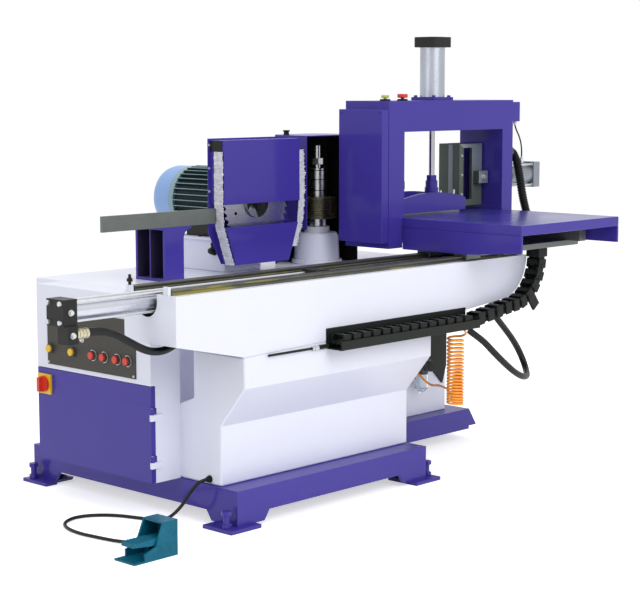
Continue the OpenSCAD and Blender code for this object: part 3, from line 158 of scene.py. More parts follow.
def remap(tree: Tree, value: Node | Socket, low: float, high: float, lo: float = 0.0,
          hi: float = 1.0) -> Node:
    """Stretches a value to another range.

    Args:
        tree: node tree.
        value: what gives the value.
        low: result where the value is lo.
        high: result where the value is hi.
        lo: start of the value's range.
        hi: end of the value's range.
    Returns:
        The node that stretches it.
    """
    return add(tree, "MapRange", {
        "Value": value, "From Min": lo, "From Max": hi, "To Min": low, "To Max": high})


def mix(tree: Tree, mask: Node, first: tuple | Socket, second: tuple | Socket) -> Socket:
    """Colour that goes from one to another.

    Args:
        tree: node tree.
        mask: share of the second colour.
        first: colour where the mask is 0.
        second: colour where the mask is 1.
    Returns:
        The mixed colour.
    """
    a, b, result = 6, 7, 2
    return add(tree, "Mix", {"Factor": mask, a: first, b: second}, data_type="RGBA").outputs[result]


def blank(name: str) -> Material:
    """New material with an empty node tree."""
    material = bpy.data.materials.new(name)
    material.use_nodes = True
    material.node_tree.nodes.clear()
    return material


class Grain(Enum):
    """How a surface was made, as the stretch of its pattern along X, Y and Z."""

    EVEN = (1.0, 1.0, 1.0)
    ALONG_X = (0.03, 1.0, 1.0)
    ALONG_Y = (1.0, 0.03, 1.0)
    ALONG_Z = (1.0, 1.0, 0.03)
    RINGS_X = (1.0, 0.02, 0.02)
    RINGS_Y = (0.02, 1.0, 0.02)
    RINGS_Z = (0.02, 0.02, 1.0)


@dataclass(frozen=True)
class Finish:
    """One surface finish, built as a node material: two colours, a fine grain and broad blotches."""

    name: str
    colour: str
    shade: str
    slot: str
    metallic: float = 0.0
    roughness: float = 0.4
    ior: float = 1.5
    coat: float = 0.0
    grain: Grain = Grain.EVEN
    grain_mm: float = 3.0
    bump_mm: float = 0.05
    blotch_mm: float = 160.0
    blotch: float = 0.5
    gloss_change: float = 0.08
    streak: str = ""
    specular: float = 0.5

    def build(self) -> Material:
        """Builds the node material once and returns it after that."""
        if self.name not in BUILT:
            BUILT[self.name] = blank(self.name)
            tree = BUILT[self.name].node_tree
            surface = self.surface(tree, add(tree, "TexCoord").outputs["Object"])
            add(tree, "OutputMaterial", {"Surface": surface})
        return BUILT[self.name]

    def surface(self, tree: Tree, place: Socket) -> Node:
        """Shader of the finish.

        Args:
            tree: node tree.
            place: object coordinates.
        Returns:
            The shader node.
        """
        stretched = add(tree, "Mapping", {"Vector": place, "Scale": self.grain.value})
        fine = add(tree, "TexNoise", {
            "Vector": stretched, "Scale": 1000 / self.grain_mm, "Detail": 3.0, "Roughness": 0.6})
        broad = add(tree, "TexNoise", {
            "Vector": place, "Scale": 1000 / self.blotch_mm, "Detail": 4.0, "Roughness": 0.55})
        both = add(tree, "Math", {0: fine, 1: broad}, operation="ADD")
        share = remap(tree, both, 0.0, self.blotch, *NOISE_RANGE)
        colour = mix(tree, share, linear(self.colour), linear(self.shade))
        if self.streak:
            # Smears of oil, long along X.
            smear = add(tree, "Mapping", {"Vector": place, "Scale": (0.12, 1.0, 1.0)})
            noise = add(tree, "TexNoise", {"Vector": smear, "Scale": 28.0, "Detail": 3.0})
            colour = mix(tree, remap(tree, noise, 0.0, 0.7, 0.6, 0.68), colour, linear(self.streak))
        gloss = remap(tree, both, self.roughness - self.gloss_change, self.roughness + self.gloss_change,
                      *NOISE_RANGE)
        bump = add(tree, "Bump", {"Height": fine, "Strength": 0.6, "Distance": self.bump_mm / 1000})
        return add(tree, "BsdfPrincipled", {
            "Base Color": colour, "Metallic": self.metallic, "Roughness": gloss, "IOR": self.ior,
            "Normal": bump, "Specular IOR Level": self.specular, "Coat Weight": self.coat,
            "Coat Roughness": 0.12})


@dataclass(frozen=True)
class ClearFinish(Finish):
    """See-through moulded plastic."""

    def surface(self, tree: Tree, place: Socket) -> Node:
        """Shader of the clear plastic.

        Args:
            tree: node tree.
            place: object coordinates.
        Returns:
            The shader node.
        """
        haze = add(tree, "TexNoise", {"Vector": place, "Scale": 1000 / self.blotch_mm})
        return add(tree, "BsdfPrincipled", {
            "Base Color": mix(tree, haze, linear(self.colour), linear(self.shade)), "IOR": self.ior,
            "Roughness": remap(tree, haze, self.roughness, self.roughness + self.gloss_change),
            "Transmission Weight": 1.0})


# Gloss enamel, sprayed and stoved: deep colour under a clear coat that goes pale at a low angle.
PURPLE = Finish("purple_gloss_enamel", "42369A", "3C318E", "purple_enamel", roughness=0.42, coat=0.4,
                grain_mm=5, bump_mm=0.012, blotch_mm=260, gloss_change=0.05, specular=0.1)
# The same enamel on the table's face, dulled by the work: it mirrors the pale room in a soft sheen.
TABLE = Finish("polished_purple_enamel", "34308A", "3E3A88", "purple_enamel", roughness=0.3, coat=0.2,
               grain_mm=4, bump_mm=0.012, blotch_mm=200, gloss_change=0.06, specular=0.3)
# Gloss machine enamel on filled castings: clean white with a cool cast and long soft waves.
WHITE = Finish("white_gloss_enamel", "E8EAF8", "E2E4F4", "white_enamel", roughness=0.32, grain_mm=9,
               bump_mm=0.008, blotch_mm=400, gloss_change=0.03)
# Satin white on folded sheet: flatter and a little more even than on the castings.
CABINET = Finish("white_satin_enamel", "E6E8F6", "DFE1F0", "cabinet_enamel", roughness=0.42, grain_mm=6,
                 bump_mm=0.01, blotch_mm=300, gloss_change=0.03)
# Black, dull finish for the inside of the hood.
LINING = Finish("hood_inside_black", "15170F", "22231C", "black_iron", roughness=0.7, bump_mm=0.1,
                blotch_mm=40, blotch=0.8, specular=0.1)
# Ground way steel: fine lines along the travel and yellowish slide oil.
WAYS = Finish("oiled_ground_steel", "66675C", "3C3D33", "ground_steel", 0.8, 0.36, grain=Grain.ALONG_X,
              grain_mm=2, bump_mm=0.03, blotch_mm=60, streak="A59C4A")
# Bare iron beside the ways: stained nearly black by old oil, with a wet sheen.
OILED = Finish("oil_stained_iron", "2E2F25", "191A13", "ground_steel", 0.4, 0.34, grain=Grain.ALONG_X,
               blotch_mm=50, blotch=0.9, streak="5C5630")
# Ground flats: grey with a green cast, lines along the length.
GROUND = Finish("surface_ground_steel", "747976", "5E6360", "ground_steel", 0.6, 0.4,
                grain=Grain.ALONG_X, grain_mm=2, bump_mm=0.03, blotch_mm=80)
# Turned shafts: rings of tool marks, drawn coarser than real so that they show.
TURNED = Finish("bright_turned_steel", "C6C7C9", "909194", "turned_steel", 1.0, 0.26,
                grain=Grain.RINGS_Z, grain_mm=2.5, bump_mm=0.04)
# Turned flanges of the arbor: bright rings round the axis.
ARBOR = Finish("turned_arbor_steel", "B4B6BA", "6E7074", "turned_steel", 1.0, 0.26, grain=Grain.RINGS_Y,
               grain_mm=4, bump_mm=0.03)
# Hard chrome: mirror with the faintest rings.
CHROME = Finish("hard_chrome", "B9BBC0", "9FA1A8", "chromed_rod", 1.0, 0.12, grain=Grain.RINGS_X,
                gloss_change=0.03)
# Drawn tubes, upright and along the bed: bright silver with long draw lines.
TUBE = Finish("honed_aluminium_tube", "B4B8C2", "9599A6", "honed_tube", 0.85, 0.3, grain=Grain.ALONG_Z)
TUBE_X = Finish("drawn_aluminium_tube", "CDCFD8", "A9ABB6", "honed_tube", 0.8, 0.3, grain=Grain.ALONG_X)
# Cast and machined aluminium: matt skin with fine pits.
CAST = Finish("sand_cast_aluminium", "989DA6", "72777F", "cast_aluminium", 0.75, 0.42, grain_mm=2,
              bump_mm=0.12)
# Ground blade: faint rings round the axis and dull patches of resin.
BLADE = Finish("ground_blade_steel", "DCDDDF", "8E8F92", "blade_steel", 1.0, 0.26, grain=Grain.RINGS_Y,
               grain_mm=4, blotch_mm=70, blotch=0.9)
# Sintered carbide: greyer than the blade, ground bright on its faces.
CARBIDE = Finish("ground_carbide", "D2D3D4", "A8A9AA", "blade_steel", 1.0, 0.2, grain_mm=2)
# Tool steel of the cutters: brownish with oil and resin, ground in rings.
CUTTER = Finish("oiled_tool_steel", "78735F", "2E2B22", "cutter_steel", 0.85, 0.36, grain=Grain.RINGS_Z)
# Zinc plate: pale, slightly blue silver with a crystalline mottle.
ZINC = Finish("zinc_plated_steel", "D2D4D6", "B0B2B4", "zinc_steel", 0.8, 0.34, grain_mm=2,
              blotch_mm=12)
# Passivated fittings: cream grey with a hint of yellow.
FITTING = Finish("passivated_steel", "CFC8AE", "A9A288", "zinc_steel", 0.75, 0.34, grain_mm=2,
                 blotch_mm=14, blotch=0.8)
# Black brushed paint on cast iron: low sheen over a sandy skin.
BLACK_IRON = Finish("black_painted_iron", "161716", "232422", "black_iron", 0.0, 0.42, grain_mm=2.5,
                    bump_mm=0.08, specular=0.25)
# Powder coat: dark olive black with a fine sand texture.
PANEL = Finish("black_powder_coat", "34332E", "4C4A43", "panel_black", roughness=0.5, grain_mm=1.5,
               bump_mm=0.08, blotch_mm=8, blotch=0.8, specular=0.3)
# Black enamel on folded sheet: low sheen with a greenish cast.
TRAY = Finish("black_tray_enamel", "121612", "1C211B", "panel_black", roughness=0.42, grain_mm=2,
              bump_mm=0.06, specular=0.2)
# Moulded nylon: nearly black, soft sheen.
NYLON = Finish("moulded_nylon", "0E100F", "181B1A", "black_nylon", roughness=0.46, grain_mm=2,
               bump_mm=0.06, specular=0.2)
# Rubber cover of hoses: black with a dusty grey bloom.
RUBBER = Finish("extruded_black_rubber", "101111", "1A1C1B", "black_rubber", roughness=0.42,
                grain_mm=1.5, bump_mm=0.06, specular=0.25)
# Polyurethane air hose: clear bright orange, wet looking.
ORANGE = Finish("orange_polyurethane", "FFA428", "F9961A", "orange_hose", roughness=0.28, grain_mm=6,
                coat=0.2)
# Hammer paint on motor castings: grey teal with small dimples.
MOTOR = Finish("motor_hammer_paint", "8FACB2", "74939A", "motor_teal", roughness=0.36, bump_mm=0.1)
# The same paint, darkened between the fins as painted shade.
FIN_GAP = Finish("motor_paint_fin_shade", "24383C", "1A2A2D", "motor_teal", roughness=0.6, specular=0.2)
# Light blue gloss on pressed sheet.
COVER = Finish("light_blue_paint", "8DAFE4", "7FA1D6", "cover_blue", roughness=0.32)
# Moulded plastics of buttons, lamps and glands: even colour, sharp small highlights.
RED = Finish("red_moulded_plastic", "DC3A26", "C62C1A", "red_plastic", roughness=0.26, grain_mm=4,
             bump_mm=0.02)
YELLOW = Finish("yellow_moulded_plastic", "EBC024", "DBAE1A", "yellow_plastic", roughness=0.3,
                grain_mm=4, bump_mm=0.02)
GREEN = Finish("green_moulded_plastic", "B9C860", "A3B44C", "green_plastic", roughness=0.28, grain_mm=4,
               bump_mm=0.02)
GREY = Finish("grey_moulded_plastic", "3C3E42", "4A4C50", "grey_plastic", roughness=0.42, grain_mm=2)
IVORY = Finish("white_moulded_plastic", "E6E6E0", "D8D8D2", "grey_plastic", roughness=0.34,
               bump_mm=0.02)
# Clear polycarbonate: water-like with a faint haze.
CLEAR = ClearFinish("clear_polycarbonate", "F2F6F8", "E6ECF0", "clear_bowl", roughness=0.02, ior=1.45,
                    blotch_mm=20, gloss_change=0.04)
# Grey-green enamel on brackets, and the bare strip where the work rubs.
PUSHER = Finish("grey_green_enamel", "5C665B", "4A534B", "pusher_steel", 0.2, 0.42, bump_mm=0.06)
STRIP = Finish("bare_wear_strip", "98A3A4", "7F8A8C", "ground_steel", 0.6, 0.36, grain=Grain.ALONG_Z,
               grain_mm=2)
# Purple enamel darkened nearly to black and dulled: painted shade inside a channel.
SHADED = Finish("purple_channel_painted_shade", "2C2548", "221D36", "purple_enamel", roughness=0.6,
                blotch_mm=40)
# Hammered teal enamel: strong dimples that break up the highlights.
PEDAL = Finish("hammered_teal_enamel", "046C88", "04566C", "pedal_teal", roughness=0.36, grain_mm=6,
               bump_mm=0.25, blotch_mm=30, blotch=0.9, specular=0.2)
# Nylon bristle, packed tight: pale strands that run out to a ragged edge.
BRISTLE = Finish("pale_nylon_bristle", "E2E2EA", "B4B4BE", "white_enamel", roughness=0.6,
                 grain=Grain.ALONG_Y, grain_mm=4, bump_mm=0.4, blotch_mm=14, blotch=1.0)
# Machined cast iron: grey, with the rings of the lathe.
IRON = Finish("machined_grey_iron", "6A6A6C", "55565A", "grey_iron", 0.8, 0.42, grain=Grain.RINGS_Z)


def deselect() -> None:
    """Leaves nothing selected, in object mode."""
    if bpy.context.object and bpy.context.object.mode != "OBJECT":
        bpy.ops.object.mode_set(mode="OBJECT")
    bpy.ops.object.select_all(action="DESELECT")


def pick(piece: Piece) -> None:
    """Makes one piece the only selected and the active one."""
    deselect()
    piece.select_set(True)
    bpy.context.view_layer.objects.active = piece


def settle(name: str) -> Piece:
    """Names the new primitive and moves its place into its mesh."""
    piece = bpy.context.object
    piece.name = name
    piece.data.name = name
    bpy.ops.object.transform_apply(location=True, rotation=True, scale=True)
    return piece


def apply(piece: Piece, kind: str, **settings) -> Piece:
    """Adds a modifier to a piece, applies it and returns the piece.

    Args:
        piece: mesh that is changed.
        kind: Blender's modifier type.
        settings: attributes of the modifier.
    Returns:
        The same piece.
    """
    pick(piece)
    made = piece.modifiers.new(kind.lower(), kind)
    for key, value in settings.items():
        setattr(made, key, value)
    bpy.ops.object.modifier_apply(modifier=made.name)
    return piece


def clear_normals(piece: Piece) -> None:
    """Picks a piece and drops the normals that came with it."""
    pick(piece)
    if piece.data.has_custom_normals:
        bpy.ops.mesh.customdata_custom_splitnormals_clear()


def shade(piece: Piece) -> Piece:
    """Shades a piece smooth across its bevels and keeps its flat faces flat."""
    clear_normals(piece)
    bpy.ops.object.shade_smooth_by_angle(angle=SMOOTH_ANGLE)
    return apply(piece, "WEIGHTED_NORMAL", keep_sharp=True)


def bevel(piece: Piece, width: float, segments: int = 2, clamp: bool = True) -> Piece:
    """Bevels the sharp edges and shades the rest smooth.

    Args:
        piece: mesh that is changed.
        width: bevel width, or 0 to leave the edges sharp.
        segments: steps of the bevel.
        clamp: keeps bevels from running into each other.
    Returns:
        The same piece.
    """
    if not width:
        return piece
    return shade(apply(piece, "BEVEL", width=width / 1000, segments=segments, limit_method="ANGLE",
                       angle_limit=BEVEL_ANGLE, use_clamp_overlap=clamp, miter_outer="MITER_ARC"))


def box(name: str, lo: Triple, hi: Triple, edge: float) -> Piece:
    """Block with softened edges.

    Args:
        name: name of the piece.
        lo: lowest corner.
        hi: highest corner.
        edge: bevel of its edges, or 0.
    Returns:
        The block.
    """
    deselect()
    a, b = at(*lo), at(*hi)
    bpy.ops.mesh.primitive_cube_add(size=1, location=(a + b) / 2)
    bpy.context.object.scale = b - a
    return bevel(settle(name), edge)


def rod(name: str, start: Triple, end: Triple, d: float, sides: int, edge: float,
        tip: Optional[float] = None) -> Piece:
    """Round or six-sided bar between two points, tapered where a tip size is given.

    Args:
        name: name of the piece.
        start: middle of one end.
        end: middle of the other end.
        d: diameter at the start.
        sides: corners of its section.
        edge: bevel of its end edges.
        tip: diameter at the end, where it differs.
    Returns:
        The bar.
    """
    deselect()
    a, b = at(*start), at(*end)
    bpy.ops.mesh.primitive_cone_add(
        vertices=sides, radius1=d / 2000, radius2=(d if tip is None else tip) / 2000, depth=(b - a).length,
        location=(a + b) / 2, rotation=(b - a).to_track_quat("Z", "Y").to_euler())
    return bevel(settle(name), edge)


def select_faces(piece: Piece, wanted: FaceTest) -> None:
    """Enters edit mode and selects the faces that a test wants.

    Args:
        piece: mesh to edit.
        wanted: test on a face's middle, in millimetres from the base corner, and its normal.
    """
    pick(piece)
    bpy.ops.object.mode_set(mode="EDIT")
    bpy.ops.mesh.select_mode(type="FACE")
    bpy.ops.mesh.select_all(action="DESELECT")
    mesh = bmesh.from_edit_mesh(piece.data)
    for face in mesh.faces:
        face.select = wanted(face.calc_center_median() * 1000 + DATUM, face.normal)
    mesh.select_flush(True)
    bmesh.update_edit_mesh(piece.data)


def sink(piece: Piece, wanted: FaceTest, rim: float, depth: float) -> Piece:
    """Insets the wanted faces and moves them in, or out where the depth is negative.

    Args:
        piece: mesh that is changed.
        wanted: test on a face's middle and normal.
        rim: width of the rim that stays.
        depth: how deep the face goes.
    Returns:
        The same piece.
    """
    select_faces(piece, wanted)
    bpy.ops.mesh.inset(thickness=rim / 1000, depth=0)
    bpy.ops.mesh.inset(thickness=0.0002, depth=-depth / 1000)
    bpy.ops.object.mode_set(mode="OBJECT")
    return shade(piece)


def join(name: str, pieces: Sequence[Piece]) -> Piece:
    """Joins pieces into one under a name."""
    deselect()
    for piece in pieces:
        piece.select_set(True)
    bpy.context.view_layer.objects.active = pieces[0]
    if len(pieces) > 1:
        bpy.ops.object.join()
    pieces[0].name = name
    pieces[0].data.name = name
    return pieces[0]


def spread(name: str, first: Piece, places: Iterable[Matrix]) -> Piece:
    """Copies a piece to places given as moves from where it is, and joins the copies.

    Args:
        name: name of the joined piece.
        first: piece that is copied, and removed after that.
        places: matrices in frame metres.
    Returns:
        The joined copies.
    """
    made = []
    for place in places:
        pick(first)
        bpy.ops.object.duplicate()
        made.append(bpy.context.object)
        made[-1].data.transform(place)
    bpy.data.objects.remove(first)
    return join(name, made)


def stack(name: str, seat: Triple, way: Triple, steps: Steps) -> Piece:
    """Turned or six-sided sections one after the other along a line.

    Args:
        name: name of the piece.
        seat: middle of the first face.
        way: direction of the line.
        steps: length, diameter and corners of each section.
    Returns:
        The joined sections.
    """
    place, out = Vector(seat), Vector(way).normalized()
    parts = []
    for i, (length, d, sides) in enumerate(steps):
        end = place + out * length
        parts.append(rod(f"{name}_{i}", tuple(place), tuple(end), d, sides, min(0.8, length / 4)))
        place = end
    return join(name, parts)


def scaled(shares: Steps, d: float) -> list[tuple[float, float, int]]:
    """Sections of a stack from their shares of a thread or hose size."""
    return [(d * length, d * width, sides) for length, width, sides in shares]


def ring(name: str, seat: Triple, way: Triple, d: float, bore: float, height: float) -> Piece:
    """Flat ring with softened edges.

    Args:
        name: name of the piece.
        seat: middle of its seat.
        way: direction that it stands out in.
        d: outer diameter.
        bore: inner diameter.
        height: how far it stands out.
    Returns:
        The ring.
    """
    deselect()
    out = Vector(way).normalized()
    bpy.ops.mesh.primitive_cylinder_add(
        vertices=36, radius=(d + bore) / 4000, depth=height / 1000, end_fill_type="NOTHING",
        location=at(*(Vector(seat) + out * height / 2)), rotation=out.to_track_quat("Z", "Y").to_euler())
    return bevel(apply(settle(name), "SOLIDIFY", thickness=(d - bore) / 2000, offset=0), 0.5)


def bolts(name: str, seats: Sequence[Triple], way: Triple, d: float) -> Piece:
    """Hex bolt heads on washers, one modelled and copied.

    Args:
        name: name of the joined piece.
        seats: middles of the washers' seats.
        way: direction that the heads point in.
        d: thread size.
    Returns:
        The joined bolts.
    """
    first = stack(name + "_one", seats[0], way, scaled(BOLT, d))
    return spread(name, first, [moved(*(Vector(seat) - Vector(seats[0]))) for seat in seats])


def plate(name: str, corners: Sequence[Triple], depth: Triple, edge: float) -> Piece:
    """Flat plate with a drawn outline.

    Args:
        name: name of the piece.
        corners: outline in order.
        depth: thickness as a vector.
        edge: bevel of its edges.
    Returns:
        The plate.
    """
    deselect()
    bpy.ops.mesh.primitive_circle_add(vertices=len(corners), fill_type="NGON")
    piece = settle(name)
    for vertex, corner in zip(piece.data.vertices, corners):
        vertex.co = at(*corner)
    bpy.ops.object.mode_set(mode="EDIT")
    bpy.ops.mesh.select_all(action="SELECT")
    bpy.ops.mesh.extrude_region_move(TRANSFORM_OT_translate={"value": Vector(depth) / 1000})
    bpy.ops.mesh.select_all(action="SELECT")
    bpy.ops.mesh.normals_make_consistent(inside=False)
    bpy.ops.object.mode_set(mode="OBJECT")
    return bevel(piece, edge)


def soften(node: str, width: float, segments: int = 2, clamp: bool = True,
           cuts: Sequence[Piece] = ()) -> Piece:
    """Copies a solid, merges its triangles, bevels its edges and lets the copy stand for it.

    Args:
        node: name of the solid.
        width: bevel width.
        segments: steps of the bevel.
        clamp: keeps bevels from running into each other.
        cuts: blocks that are cut out of the copy, and removed after that.
    Returns:
        The softened copy.
    """
    deselect()
    piece = NODES[node].copy()
    piece.data = NODES[node].data.copy()
    piece.name = node + "_finished"
    bpy.context.scene.collection.objects.link(piece)
    clear_normals(piece)
    bpy.ops.object.mode_set(mode="EDIT")
    bpy.ops.mesh.select_all(action="SELECT")
    bpy.ops.mesh.remove_doubles(threshold=MERGE_DISTANCE)
    bpy.ops.mesh.dissolve_limited(angle_limit=FLAT_ANGLE)
    bpy.ops.object.mode_set(mode="OBJECT")
    for block in cuts:
        apply(piece, "BOOLEAN", operation="DIFFERENCE", solver="EXACT", object=block)
        bpy.data.objects.remove(block)
    bevel(piece, width, segments, clamp)
    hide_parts(node)
    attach(piece, BODY_OF[node])
    return piece


def paint(piece: Piece, finish: Finish, wanted: FaceTest) -> None:
    """Gives the wanted faces of a dressed piece a second finish.

    Args:
        piece: mesh that is changed.
        finish: the second finish.
        wanted: test on a face's middle, in millimetres from the base corner, and its normal.
    """
    piece.data.materials.append(finish.build())
    select_faces(piece, wanted)
    piece.active_material_index = len(piece.data.materials) - 1
    bpy.ops.object.material_slot_assign()
    bpy.ops.object.mode_set(mode="OBJECT")


def inside(lo: Triple, hi: Triple) -> FaceTest:
    """Test for faces whose middle lies between two corners."""
    return lambda c, n: all(a < v < b for a, v, b in zip(lo, c, hi))


def dress(piece: Piece, finish: Finish) -> Piece:
    """Gives a piece its finish."""
    piece.data.materials.clear()
    piece.data.materials.append(finish.build())
    return piece


def fit(piece: Piece, body: str, finish: Finish) -> Piece:
    """Dresses a new piece, sets it on its body and reports it."""
    dress(piece, finish)
    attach(piece, body)
    log.info("%s on %s in %s", piece.name, body, finish.name)
    return piece


def skins(*rows: tuple[str, float, Finish]) -> dict[str, Piece]:
    """Softens solids and gives each its finish.

    Args:
        rows: node, bevel width and finish of each solid.
    Returns:
        The softened pieces by node.
    """
    return {node: dress(soften(node, width), finish) for node, width, finish in rows}


def coats(*rows: tuple[str, Finish]) -> None:
    """Gives solids that show as they are their finish."""
    for node, finish in rows:
        for holder in NODES[node].material_slots:
            holder.material = finish.build()


def turnings(body: str, finish: Finish, *rows: tuple[str, Triple, Triple, Steps]) -> None:
    """Fits turned or six-sided pieces.

    Args:
        body: body that carries them.
        finish: their finish.
        rows: name, seat, direction and sections of each piece.
    """
    for row in rows:
        fit(stack(*row), body, finish)


def smooth(route: Sequence[Triple], steps: int = 6) -> list[Vector]:
    """Refines a route with the spline that the solids follow.

    Args:
        route: points in millimetres.
        steps: points for each stretch.
    Returns:
        Points in frame metres.
    """
    points = [at(*p) for p in route]
    last = len(points) - 1
    path = []
    for i in range(last):
        p0, p1, p2, p3 = points[max(i - 1, 0)], points[i], points[i + 1], points[min(i + 2, last)]
        for s in range(steps):
            t = s / steps
            path.append(0.5 * (2 * p1 + (p2 - p0) * t + (2 * p0 - 5 * p1 + 4 * p2 - p3) * t ** 2
                               + (3 * p1 - p0 - 3 * p2 + p3) * t ** 3))
    return path + [points[last]]


def hose(name: str, path: Sequence[Vector], d: float) -> Piece:
    """Round hose along a path, as a curve of one open spline.

    Args:
        name: name of the piece.
        path: points in frame metres.
        d: diameter.
    Returns:
        The curve object.
    """
    curve = bpy.data.curves.new(name, "CURVE")
    curve.dimensions = "3D"
    curve.bevel_depth = d / 2000
    curve.bevel_resolution = 5
    curve.use_fill_caps = True
    spline = curve.splines.new("POLY")
    spline.points.add(len(path) - 1)
    for point, place in zip(spline.points, path):
        point.co = (*place, 1)
    spline.use_smooth = True
    piece = bpy.data.objects.new(name, curve)
    bpy.context.scene.collection.objects.link(piece)
    return piece


@dataclass
class Cords:
    """Hydraulic hoses, pedal cable, coiled air hose, conduits and wires, with what holds their ends."""

    hose_d: float = 24
    cable_d: float = 11
    air_d: float = 8
    coil_d: float = 62
    coil_turns: int = 20
    coil_rings: int = 24
    coil_axis: tuple[float, float] = (996, -62)
    coil_top: float = 533.7
    coil_lead: float = 26
    coil_low: float = 271.7
    air_port: Triple = (1300, 344, 325)
    port_out: float = 26
    conduit_d: float = 34
    conduit_neck: float = 0.86
    wire_d: float = 6
    pedal_route: tuple = (
        (9, 133, 143), (-3, 133, 143), (-15, 133, 143), (-38, 138, 136), (-58, 152, 108),
        (-74, 178, 62), (-90, 215, 24), (-104, 262, 8), (-122, 330, 6.5), (-150, 402, 6.5),
        (-196, 456, 6.5), (-256, 478, 6.5), (-318, 452, 6.5), (-354, 396, 6.5), (-366, 322, 6.5),
        (-358, 240, 6.5), (-346, 168, 7), (-336, 112, 12), (-330, 72, 24), (-328, 58, 30),
        (-328, 44, 30), (-328, 30, 30))
    feed_route: tuple = (
        (-565, 79, 671), (-545, 79, 671), (-525, 79, 671), (-500, 79, 672), (-457, 79, 668),
        (-408, 79, 651), (-361, 79, 627), (-314, 79, 603), (-274, 79, 589), (-230, 79, 586),
        (-190, 79, 596), (-156, 79, 617), (-136, 79, 637), (-130, 79, 651.8), (-130, 79, 663.8),
        (-130, 79, 675.8))
    loop_route: tuple = (
        (1092, -6, 587.6), (1092, -6, 574), (1092, -6, 560.4), (1098, -14, 532), (1130, -32, 504),
        (1180, -44, 468), (1240, -48, 420), (1300, -49, 376), (1360, -47, 338), (1424, -36, 312),
        (1486, -10, 304), (1530, 26, 318), (1546, 54, 352), (1528, 64, 394), (1484, 62, 440),
        (1432, 58, 484), (1384, 54, 524), (1358, 50, 556), (1350, 48, 579), (1350, 48, 596),
        (1350, 48, 612.8))
    conduit_route: tuple = (
        (1741, 436, 1130), (1752, 436, 1130), (1763, 436, 1130), (1788, 436, 1114), (1806, 434, 1072),
        (1812, 424, 1018), (1806, 402, 960), (1792, 366, 908), (1774, 316, 868), (1766, 270, 850),
        (1752, 232, 840), (1719, 212, 836), (1700, 212, 836), (1681, 212, 836))
    wire_route: tuple = (
        (1770, 300, 1236), (1770, 300, 1229), (1770, 300, 1222), (1786, 304, 1196), (1806, 316, 1162),
        (1818, 330, 1126), (1822, 342, 1096), (1822, 342, 1088), (1822, 342, 1080))
    front_conduit_route: tuple = (
        (1741, 285, 1122), (1750, 285, 1122), (1759, 285, 1121), (1775, 281.5, 1111),
        (1787, 276.5, 1088), (1795, 272, 1056), (1802, 269.5, 1022), (1810, 268, 986), (1821, 268, 948),
        (1832, 267, 914), (1839, 262, 884), (1834, 248, 862), (1816, 226, 846), (1786, 196, 838),
        (1752, 166, 836), (1722, 152, 836), (1700, 150, 836), (1681, 150, 836))
    front_wire_route: tuple = (
        (1786, 284, 1236), (1786, 284, 1229), (1787, 284, 1221), (1804, 290, 1203), (1842, 306, 1180),
        (1880, 324, 1152), (1904, 337, 1122), (1910, 341, 1104), (1911, 342, 1092), (1911, 342, 1080),
        (1911, 342, 1069))

    def build(self) -> None:
        """Lays every cord on its route and puts the fittings on its ends."""
        rows = (
            ("pedal_cord", smooth(self.pedal_route), self.cable_d, "machine",
             "pedal_cable", "loose", "medium"),
            ("feed_hose", smooth(self.feed_route), self.hose_d, "machine",
             "hydraulic_hoses", "hanging", "stiff"),
            ("loop_hose", smooth(self.loop_route), self.hose_d, "machine",
             "hydraulic_hoses", "hanging", "stiff"),
            ("air_hose", self.coil_path(), self.air_d, "machine", "coil_hose", "coiled", "stiff"),
            ("box_wire", smooth(self.wire_route), self.wire_d, "carriage",
             "portal_conduit", "hanging", "medium"),
            ("front_wire", smooth(self.front_wire_route), self.wire_d, "carriage",
             "", "hanging", "medium"))
        for name, path, d, body, node, lay, stiffness in rows:
            piece = fit(hose(name, path, d), body, ORANGE if lay == "coiled" else RUBBER)
            self.declare(piece, path, d, node, stiffness=stiffness, lay=lay)
        self.conduit("ribbed_conduit", self.conduit_route, "portal_conduit")
        self.conduit("front_conduit", self.front_conduit_route, "")
        self.ends()

    @staticmethod
    def declare(piece: Piece, points: list[Vector], d: float, node: str, stiffness: str, lay: str,
                **more) -> None:
        """Lets a cord stand for its solid.

        Args:
            piece: the cord; not used.
            points: its line in frame metres; not used.
            d: diameter; not used.
            node: solid that it stands for, or nothing.
            stiffness: how it bends; not used.
            lay: how it lies; not used.
            more: its path, where it isn't a curve; not used.
        """
        if node:
            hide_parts(node)

    def coil_path(self) -> list[Vector]:
        """Path of the coiled air hose from the tray down to the air unit, its upper curls drawn open."""
        (x, y), top, low, (ax, ay, az) = self.coil_axis, self.coil_top, self.coil_low, self.air_port
        r = (self.coil_d - self.air_d) / 2
        whole = self.coil_rings * self.coil_turns
        start = top - self.coil_lead
        turns = []
        for i in range(whole + 1):
            t = i / whole
            angle = 2 * math.pi * i / self.coil_rings
            turns.append((x + r * math.cos(angle), y + r * math.sin(angle),
                          start - (start - low) * t * (1.2 - 0.2 * t)))
        head = [(x + r, y - 24, top), (x + r, y - 24, top - 8), (x + r, y - 20, top - 18)]
        tail = [(x + r + 6, y + 30, low - 6), (x + 74, y + 70, low - 4), (x + 132, y + 125, low),
                (x + 180, y + 180, low + 6), (x + 215, y + 245, low + 6), (ax - 56, ay - 90, az - 56),
                (ax - 60, ay - 40, az - 26), (ax - 54, ay - 8, az - 4), (ax - 44, ay, az),
                (ax - 35, ay, az), (ax - self.port_out, ay, az)]
        before = smooth(head + turns[:2])[:-7]
        after = smooth(turns[-2:] + tail)[6:]
        return before + [at(*p) for p in turns] + after[1:]

